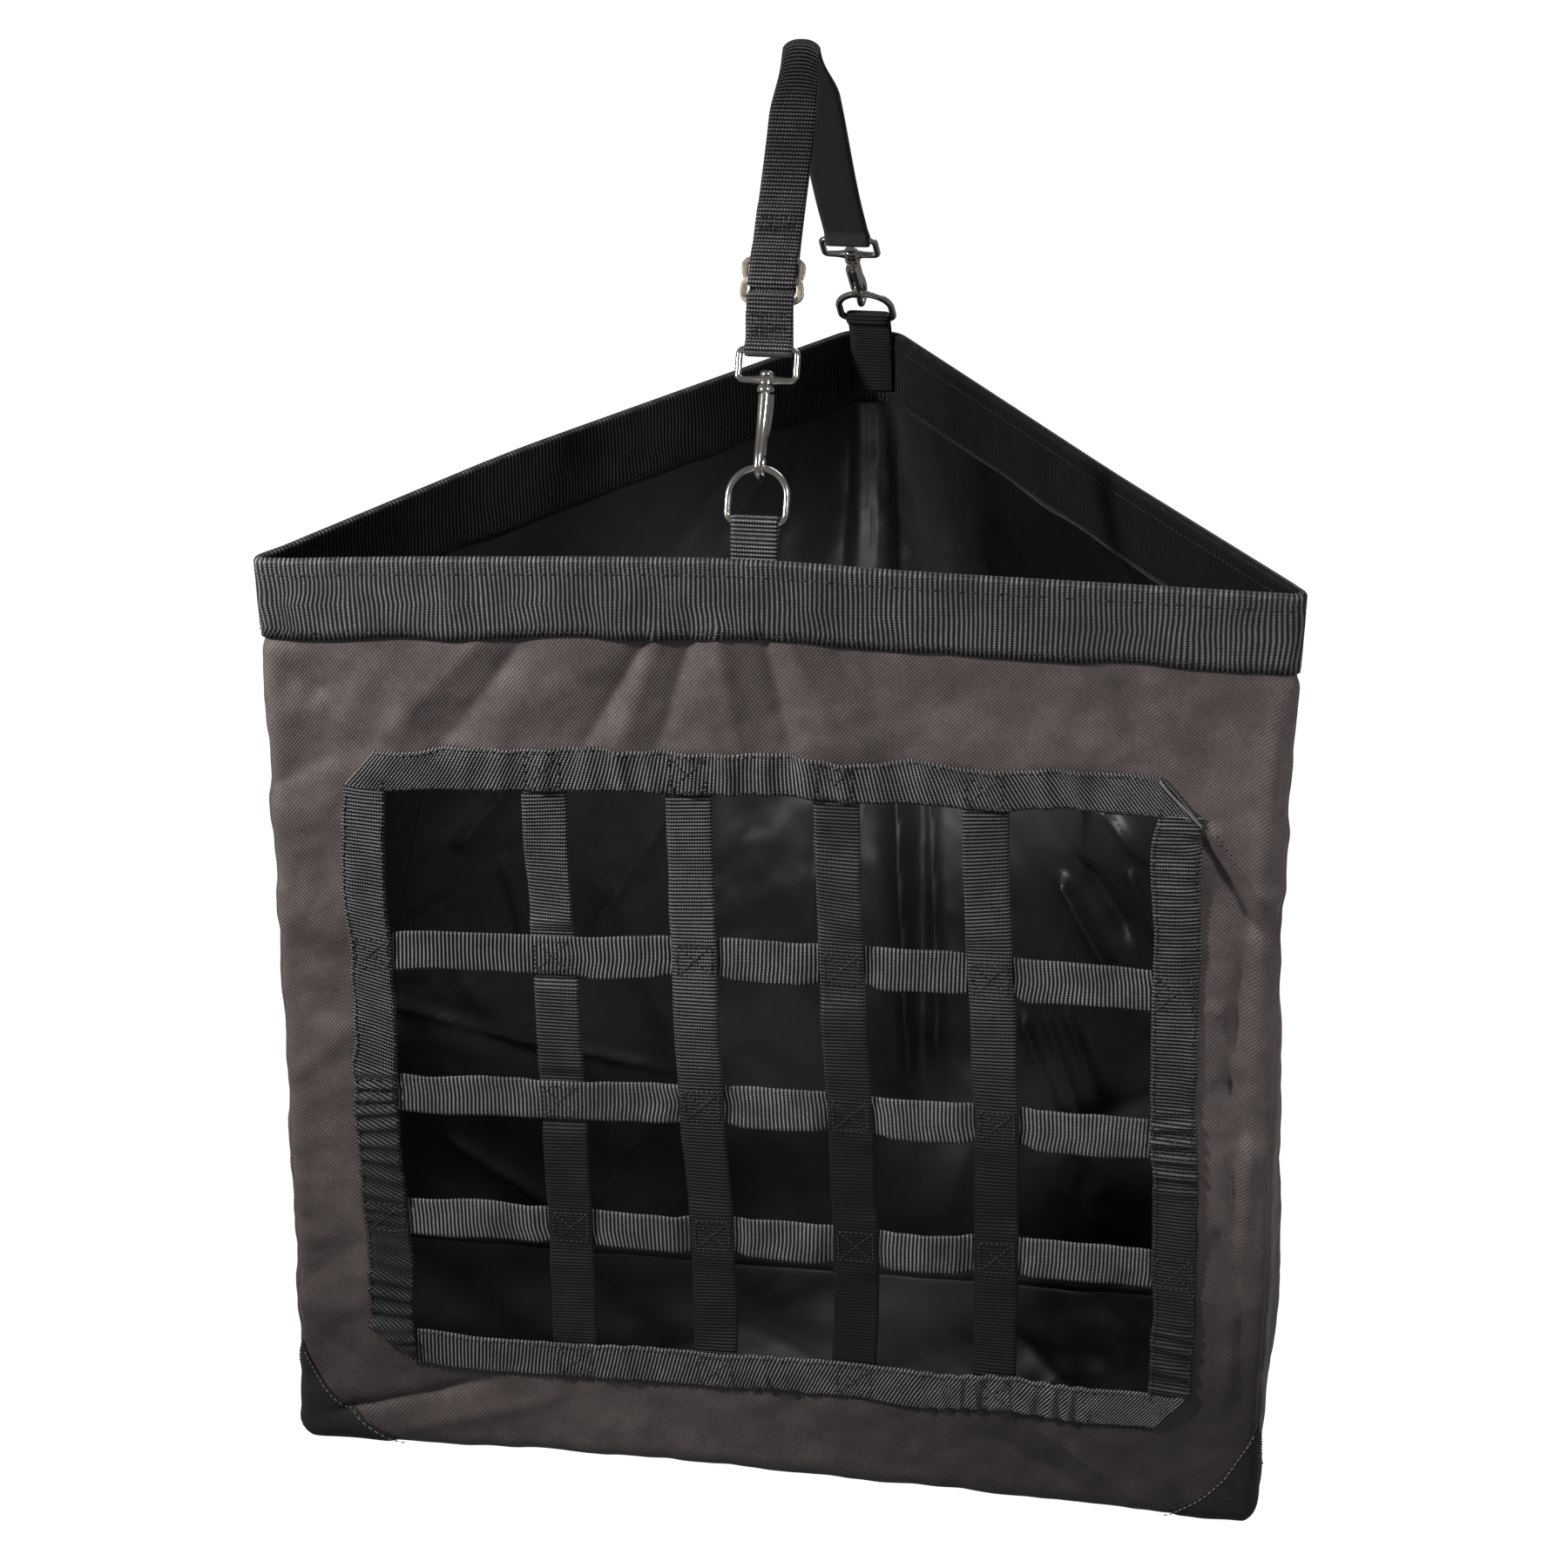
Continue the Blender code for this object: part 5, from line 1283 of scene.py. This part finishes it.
def build_hardware(chain):
    word = chain.word
    half, corner = (RING_WIDTH - RING_WIRE) / 2, 0.0045
    centre = RING_TOP - half
    outline = [(x, 0.0) for x in np.linspace(-half + corner, half - corner, 12)]
    outline += arc((half - corner, corner), corner, -90, 0, 8)[1:]
    outline += arc((0.0, centre), half, 0, 180, 48)
    outline += arc((-half + corner, corner), corner, 180, 270, 8)[:-1]
    pts = [chain.at(x, a, 0.0) for x, a in outline]
    metal_piece(word + "_d_ring", [tube(pts, RING_WIRE / 2, 24, cyclic=True)], word + "_ring")

    outline = rounded_box((EYE_WIDTH - EYE_WIRE) / 2, EYE_LOW, EYE_BAR, 0.0028)
    pts = [chain.at(x, a, 0.0) for x, a in outline]
    ring = np.array(pts + pts[:1])
    at = travel(ring)
    dense = along_line(ring, at, np.linspace(0, at[-1], 110, endpoint=False))
    mid = chain.at(0, EYE_LOW, 0)
    swell = [EYE_WIRE / 2 + 0.0012 * math.exp(-(np.linalg.norm(p - mid) / 0.0055) ** 2)
             for p in dense]
    boss = lathe(chain, [(EYE_LOW - 0.0024, 0.0036), (EYE_LOW - 0.0020, 0.0043),
                         (EYE_LOW + 0.0012, 0.0043), (EYE_LOW + 0.0020, 0.0038)])
    metal_piece(word + "_swivel_eye", [tube(dense, swell, 20, cyclic=True), boss],
                word + "_snap_eye", 50.0)

    low = HOOK_LOW + HOOK_WIRE + HOOK_BEND
    path = [(0.0000, EYE_LOW - 0.0050, 0.0034), (0.0003, 0.0650, 0.0035), (0.0008, 0.0590, 0.0034),
            (0.0018, 0.0500, 0.0030), (0.0040, 0.0410, 0.0027), (0.0057, 0.0345, 0.0025)]
    for v, along in arc((0.0, low), HOOK_BEND, 0, -180, 24)[1:]:
        path.append((v, along, HOOK_WIRE - 0.0004 * (HOOK_BEND - v) / (2 * HOOK_BEND)))
    path.append((-HOOK_BEND, low + 0.0035, HOOK_WIRE - 0.0004))
    path.append((-HOOK_BEND, low + 0.0052, HOOK_WIRE - 0.0007))
    path.append((-HOOK_BEND, low + TIP_RISE, 0.0013))
    rounded = smooth_line(np.array([(*chain.at(0, a, v), r) for v, a, r in path]))
    body = tube(rounded[:, :3], rounded[:, 3], 22)
    collar = lathe(chain, [(EYE_LOW - 0.0078, 0.0030), (EYE_LOW - 0.0072, 0.0041),
                           (EYE_LOW - 0.0060, 0.0046), (EYE_LOW - 0.0044, 0.0046),
                           (EYE_LOW - 0.0034, 0.0042), (EYE_LOW - 0.0028, 0.0035)])
    stud = lathe(chain, [(EYE_LOW - 0.0040, 0.0018), (EYE_LOW + 0.0030, 0.0018)])
    head = lathe(chain, [(EYE_LOW + 0.0025, 0.0028), (EYE_LOW + 0.0028, 0.0036),
                         (EYE_LOW + 0.0040, 0.0037), (EYE_LOW + 0.0048, 0.0032),
                         (EYE_LOW + 0.0052, 0.0022), (EYE_LOW + 0.0053, 0.0008)])
    top = EYE_LOW - 0.0052
    barrel = lathe(chain, [(BARREL_LOW, 0.0026), (BARREL_LOW, 0.0034),
                           (BARREL_LOW + 0.0006, 0.0038), (BARREL_LOW + 0.012, 0.0039),
                           (top - 0.003, 0.0040),
                           (top - 0.0012, 0.0036), (top, 0.0026)], BOLT_OUT + 0.0008)
    bridge = tube([chain.at(0, a, BOLT_OUT * 0.5)
                   for a in np.linspace(BARREL_LOW + 0.002, top - 0.002, 8)], 0.0024, 12)
    metal_piece(word + "_snap_body", [body, collar, stud, head, barrel, bridge],
                word + "_snap_hook", 50.0)

    tip = HOOK_LOW + HOOK_WIRE + HOOK_BEND + TIP_RISE + 0.0005
    rear, knob = BARREL_LOW + 0.0085, BARREL_LOW + 0.0036
    pin = lathe(chain, [(tip, 0.0012), (tip + 0.0004, 0.0017), (tip + 0.001, BOLT_RADIUS),
                        (rear, BOLT_RADIUS)], BOLT_OUT)
    stem_line = [chain.at(0, knob, BOLT_OUT - t) for t in (0.0015, 0.0035, 0.0055, 0.0062)]
    stem = tube(stem_line, 0.0011, 14)
    knob_out = [0.0056, 0.0059, 0.0068, 0.0075, 0.0077]
    knob_size = [0.0016, 0.0024, 0.0026, 0.0020, 0.0008]
    ball = tube([chain.at(0, knob, BOLT_OUT - t) for t in knob_out], knob_size, 18)
    metal_piece(word + "_snap_pin", [pin, stem, ball], word + "_snap_bolt")


def smooth_line(points):
    """Rows of numbers rounded twice by cutting the corners; the ends stay."""
    for _ in range(2):
        a, b = points[:-1], points[1:]
        cut = np.empty((2 * len(a), points.shape[1]))
        cut[0::2], cut[1::2] = a * 0.75 + b * 0.25, a * 0.25 + b * 0.75
        points = np.vstack((points[:1], cut, points[-1:]))
    return points


# ------------------------------------------------------------ tabs and strap
def path_ribbon(name, path, fillet, bend=None, rib=RIB, **facts):
    """Webbing along a line in the (y, z) plane, its bends rounded by averaging."""
    line = np.array([(0.0, y, z) for y, z in path])
    at = travel(line)
    total = at[-1]
    fine = np.linspace(0.0, total, int(total / 0.0003))
    shifts = np.linspace(-fillet, fillet, 9)
    dense = 0.0
    for shift in shifts:
        dense = dense + along_line(line, at, np.clip(fine + shift, 0.0, total))
    dense = dense / len(shifts)
    steps = travel(dense)
    tangent = unit(np.gradient(dense, axis=0))
    normal = np.cross(np.array((1.0, 0.0, 0.0)), tangent)

    def place(u, v, h):
        centre = along_line(dense, steps, v)
        face = unit(along_line(normal, steps, v))
        side = np.zeros_like(centre)
        side[..., 0] = 1.0
        points = centre + face * h[..., None] + side * u[..., None]
        return points if bend is None else bend(points)

    made = ribbon(name, steps[-1], WEBBING / 2, place, rib=rib, **facts)
    return made, steps[-1]


def build_tab(chain):
    inner = RING_WIRE / 2 + LOOP + WEB_THICK / 2
    leaf = WEB_THICK / 2 + GAP / 2
    panel_out = OUT if chain.word == "front" else OUT * np.array((1.0, -1.0, 1.0))
    lowest = -(GAP + BINDING_THICK + GAP) - 2 * leaf - GAP
    near, far = lowest + leaf, lowest - leaf

    def pair(s, depth):
        vector = chain.mouth - chain.bar + DOWN * s + panel_out * depth
        return vector.dot(chain.up), vector.dot(chain.out)

    path = [pair(TAB_TAIL, near), pair(0.004, near), (-0.0085, leaf)]
    path += [(y, x) for x, y in arc((0.0, 0.0), inner, -48, 228, 18)]
    path += [(-0.0085, -leaf), pair(0.004, far), pair(TAB_TAIL, far)]
    world = [chain.at(0.0, a, o) for a, o in path]
    # the back tab is drawn with the painted-shade copy of the webbing
    piece, length = path_ribbon(chain.word + "_tab", [(p[1], p[2]) for p in world], 0.0012,
                                nodes=(chain.word + "_ring_tab",), rib=0.0020,
                                material=WEB if chain.word == "front" else SHADED_TAB_WEB)


INNER = -LINE_STAND + WEB_THICK / 2
OUTER = INNER + WEB_THICK + GAP
SLIDE_OUT = OUTER + WEB_THICK / 2 + LOOP + SLIDE_THICK / 2


def strap_crown(points):
    """The strap narrows, droops at its edges and leans a little as it passes its hook."""
    x, y, z = points[..., 0], points[..., 1], points[..., 2]
    share = ease((z + 0.036) / 0.038)
    droop = 0.0035 * share * (np.abs(x) / (WEBBING / 2)) ** 2.5
    turn = math.radians(6.0) * share
    x = x * (1.0 - 0.23 * share) + 0.0038 * ease((z + 0.120) / 0.100)
    return np.stack((x * np.cos(turn) - y * np.sin(turn), x * np.sin(turn) + y * np.cos(turn),
                     z - droop - 0.0015 * share), -1)


def build_strap(front, back):
    """One webbing strap along its real route; see the layers at the adjuster."""
    wrap = SLIDE_THICK / 2 + LOOP + WEB_THICK / 2
    around = EYE_WIRE / 2 + LOOP + WEB_THICK / 2
    high = SLIDE_OUT + wrap
    lift = OUTER + WEB_THICK + GAP
    wrap_at = SLIDE_AT - BAR / 2 + SLIDE_THICK / 2 - GAP

    def bar_arc(along, out, radius, start, end, steps):
        return [(a, o) for o, a in arc((out, along), radius, start, end, steps)]

    up = [(SEWN_TO, OUTER), (SLIDE_AT + SLIDE_HALF, OUTER)]
    up += bar_arc(wrap_at, SLIDE_OUT, wrap, 180, 360, 14)
    up += [(SLIDE_AT + SLIDE_HALF + 0.001, high), (SLIDE_AT + SLIDE_HALF + 0.008, lift),
           (SEWN_TO + 0.001, lift), (SEWN_TO + 0.007, OUTER)]
    down = [(SLIDE_AT - 0.0040, INNER), (SLIDE_AT - 0.0086, high),
            (SLIDE_AT - SLIDE_HALF - 0.0012, high)]
    down += bar_arc(EYE_BAR, 0.0, around, 157, 385, 18)
    down += [(EYE_BAR + 0.0058, 0.0011), (EYE_BAR + 0.0195, 0.0068)]
    bight = [(EYE_BAR + 0.010, OUTER)]
    bight += bar_arc(EYE_BAR, 0.0, around, 12, -192, 18)
    bight += [(EYE_BAR + 0.010, INNER)]

    def world(chain, pairs):
        return [tuple(chain.at(0.0, a, o)[1:]) for a, o in pairs]

    def over(radius, start, end):
        return arc((0.0, -HOOK_RADIUS), radius, start, end, 24)

    front_angle = math.degrees(math.atan2(front.out[2], front.out[1]))
    back_angle = math.degrees(math.atan2(back.out[2], back.out[1]))
    bend_in = HOOK_RADIUS + WEB_THICK / 2
    bend_out = bend_in + WEB_THICK + GAP
    path = world(front, up) + over(bend_out, front_angle, back_angle) + world(back, bight)
    path += over(bend_in, back_angle, front_angle) + world(front, down)
    outer_run = (world(front, up) + over(bend_out, front_angle, back_angle)
                 + world(back, bight[:9]))
    tail = world(front, down[-10:])
    plain = (travel(outer_run)[-1], travel(path)[-1] - travel(tail)[-1])
    strap, length = path_ribbon("strap", path, 0.0011, strap_crown, rib=0.0021, plain=plain,
                                material=STRAP_WEB, slot="strap_webbing",
                                nodes=("hanging_strap",))
    top = WEB_THICK / 2 + 0.0003
    rows = []
    for low, high, surface in ((SEWN_TO - 0.0110, SEWN_TO - 0.0015, lambda a: lift + top),
                               (EYE_BAR + 0.0065, EYE_BAR + 0.0180,
                                lambda a: 0.0011 + (a - EYE_BAR - 0.0058) * 0.416 + top)):
        def on_strap(x, a, h, surface=surface):
            return strap_crown(front.at(x, a, surface(a) + h))

        half = WEBBING / 2 - 0.0020
        for a in np.arange(low, high, 0.0016):
            rows += seam(((-half, a), (half, a + 0.0004)), on_strap, 0.0019, 0.0006, 0.0003)
    make_thread("stitching_strap", stitch_mesh(rows, 0.00042), THREAD)


def build_slide(chain):
    """Stamped figure-eight slide with rounded edges."""
    def edge(along):
        lobe = math.sin(math.pi * abs(along) / SLIDE_HALF)
        round_end = max(abs(along) - (SLIDE_HALF - SLIDE_CORNER), 0.0)
        cut = SLIDE_CORNER - math.sqrt(max(SLIDE_CORNER ** 2 - round_end ** 2, 0.0))
        return SLIDE_WAIST + SLIDE_LOBE * lobe - cut

    heights = [SLIDE_HALF * math.sin(math.radians(t)) for t in range(-90, 91, 3)]
    loops = [[(edge(a), a) for a in heights] + [(-edge(a), a) for a in reversed(heights)]]
    for low, high in ((BAR / 2, SLIDE_HALF - BAR), (-SLIDE_HALF + BAR, -BAR / 2)):
        loops.append(rounded_box(SLOT_HALF, low, high, 0.0016))
    curve = bpy.data.curves.new("slide_outline", "CURVE")
    curve.dimensions = "2D"
    curve.fill_mode = "BOTH"
    bevel = 0.00035
    curve.extrude = SLIDE_THICK / 2 - bevel
    curve.bevel_depth = bevel
    curve.bevel_resolution = 3
    curve.offset = -bevel
    for points in loops:
        spline = curve.splines.new("POLY")
        spline.points.add(len(points) - 1)
        for target, (x, a) in zip(spline.points, points):
            target.co = (x, a, 0.0, 1.0)
        spline.use_cyclic_u = True
    guide = add_object("slide_guide", curve)
    bpy.context.view_layer.update()
    mesh = bpy.data.meshes.new_from_object(
        guide.evaluated_get(bpy.context.evaluated_depsgraph_get()))
    bpy.data.objects.remove(guide, do_unlink=True)
    bm = bmesh.new()
    bm.from_mesh(mesh)
    bmesh.ops.remove_doubles(bm, verts=bm.verts, dist=0.00001)
    turn = Matrix((Vector((1, 0, 0)), Vector(chain.up), Vector(chain.out))).transposed()
    place = Matrix.Translation(Vector(chain.at(0, SLIDE_AT, SLIDE_OUT))) @ turn.to_4x4()
    bm.transform(place)
    bmesh.ops.recalc_face_normals(bm, faces=bm.faces)
    bm.to_mesh(mesh)
    bm.free()
    mesh.materials.clear()
    mesh.materials.append(STEEL)
    mesh.shade_smooth()
    mesh.set_sharp_from_angle(angle=math.radians(40))
    visible("adjuster", mesh, "root", ("adjuster_slide",))


# ------------------------------------------------------------ camera and light
def make_camera():
    data = bpy.data.cameras.new("camera")
    data.lens = LENS_MM
    data.sensor_width = 36.0
    data.clip_start, data.clip_end = 0.05, 100.0
    cam = add_object("camera", data)
    yaw, pitch = math.radians(-CAMERA_TURN), math.radians(CAMERA_DIP)
    look = Vector((math.sin(yaw) * math.cos(pitch), math.cos(yaw) * math.cos(pitch),
                   -math.sin(pitch)))
    right = Vector((math.cos(yaw), -math.sin(yaw), 0.0))
    up = right.cross(look)
    roll = math.radians(CAMERA_ROLL)
    side = right * math.cos(roll) + up * math.sin(roll)
    top = up * math.cos(roll) - right * math.sin(roll)
    turn = Matrix((side, top, -look)).transposed()
    cam.matrix_world = Matrix.Translation(CAMERA_AT) @ turn.to_4x4()
    bpy.context.scene.camera = cam


def add_lamp(name, kind, at, target, watts, **settings):
    data = bpy.data.lights.new(name, kind)
    data.energy = watts
    for key, value in settings.items():
        setattr(data, key, value)
    lamp = add_object(name, data)
    lamp.location = at
    lamp.rotation_euler = (Vector(target) - Vector(at)).to_track_quat("-Z", "Y").to_euler()
    return lamp


def area_light(name, at, target, size, watts):
    add_lamp(name, "AREA", at, target, watts, shape="RECTANGLE", size=size[0], size_y=size[1])


def spot_light(name, at, target, cone, radius, watts, colour=(1.0, 1.0, 1.0)):
    return add_lamp(name, "SPOT", at, target, watts, color=colour, spot_blend=1.0,
                    spot_size=math.radians(cone), shadow_soft_size=radius)


FLOOR_Z = -2.2


def make_stage():
    size = 30.0
    mesh = bpy.data.meshes.new("floor")
    mesh.from_pydata([(-size, -size, FLOOR_Z), (size, -size, FLOOR_Z), (size, size, FLOOR_Z),
                      (-size, size, FLOOR_Z)], [], [(0, 1, 2, 3)])
    mesh.materials.append(floor_material())
    floor = add_object("floor", mesh)
    floor.visible_diffuse = False
    floor.visible_glossy = False
    world = bpy.data.worlds.new("studio")
    world.use_nodes = True
    background = world.node_tree.nodes["Background"]
    background.inputs["Color"].default_value = (1.0, 1.0, 1.0, 1.0)
    # dim as a light, and as pale as the floor where the camera sees past the floor's edge
    seen = world.node_tree.nodes.new("ShaderNodeLightPath")
    level = world.node_tree.nodes.new("ShaderNodeMath")
    level.operation = "MULTIPLY_ADD"
    level.inputs[1].default_value, level.inputs[2].default_value = 0.92, 0.13
    world.node_tree.links.new(seen.outputs["Is Camera Ray"], level.inputs[0])
    world.node_tree.links.new(level.outputs[0], background.inputs["Strength"])
    bpy.context.scene.world = world
    spot_light("key", (-0.90, -0.75, 0.25), (-0.20, -0.13, -0.42), 59.0, 0.06, 92.0,
               (1.0, 0.985, 0.965))
    spot_light("side", (0.95, -1.00, 0.35), (0.27, -0.10, -0.52), 31.0, 0.08, 44.0)
    area_light("low", (0.3, -1.9, -1.9), (0.0, 0.0, -0.55), (1.4, 0.5), 1.6)
    area_light("rim", (0.5, 1.3, 0.9), (0.0, 0.0, -0.20), (0.9, 0.5), 6.0)
    fill = spot_light("fill", (0.01, 0.02, -0.372), (0.00, 0.20, -0.62), 175.0, 0.04, 0.85)
    fill.visible_camera = False
    spot_light("mouth", (0.35, -0.42, 0.12), (-0.17, 0.12, -0.33), 24.0, 0.05, 5.0)
    bpy.context.scene.view_settings.view_transform = "Standard"
    bpy.context.scene.view_settings.look = "None"


make_camera()
make_stage()
build_cloth()
build_binding()
build_frame()
build_grid()
build_patches()
build_stitching()
FRONT, BACK = Chain("front"), Chain("back")
for run in (FRONT, BACK):
    build_hardware(run)
    build_tab(run)
build_slide(FRONT)
build_strap(FRONT, BACK)
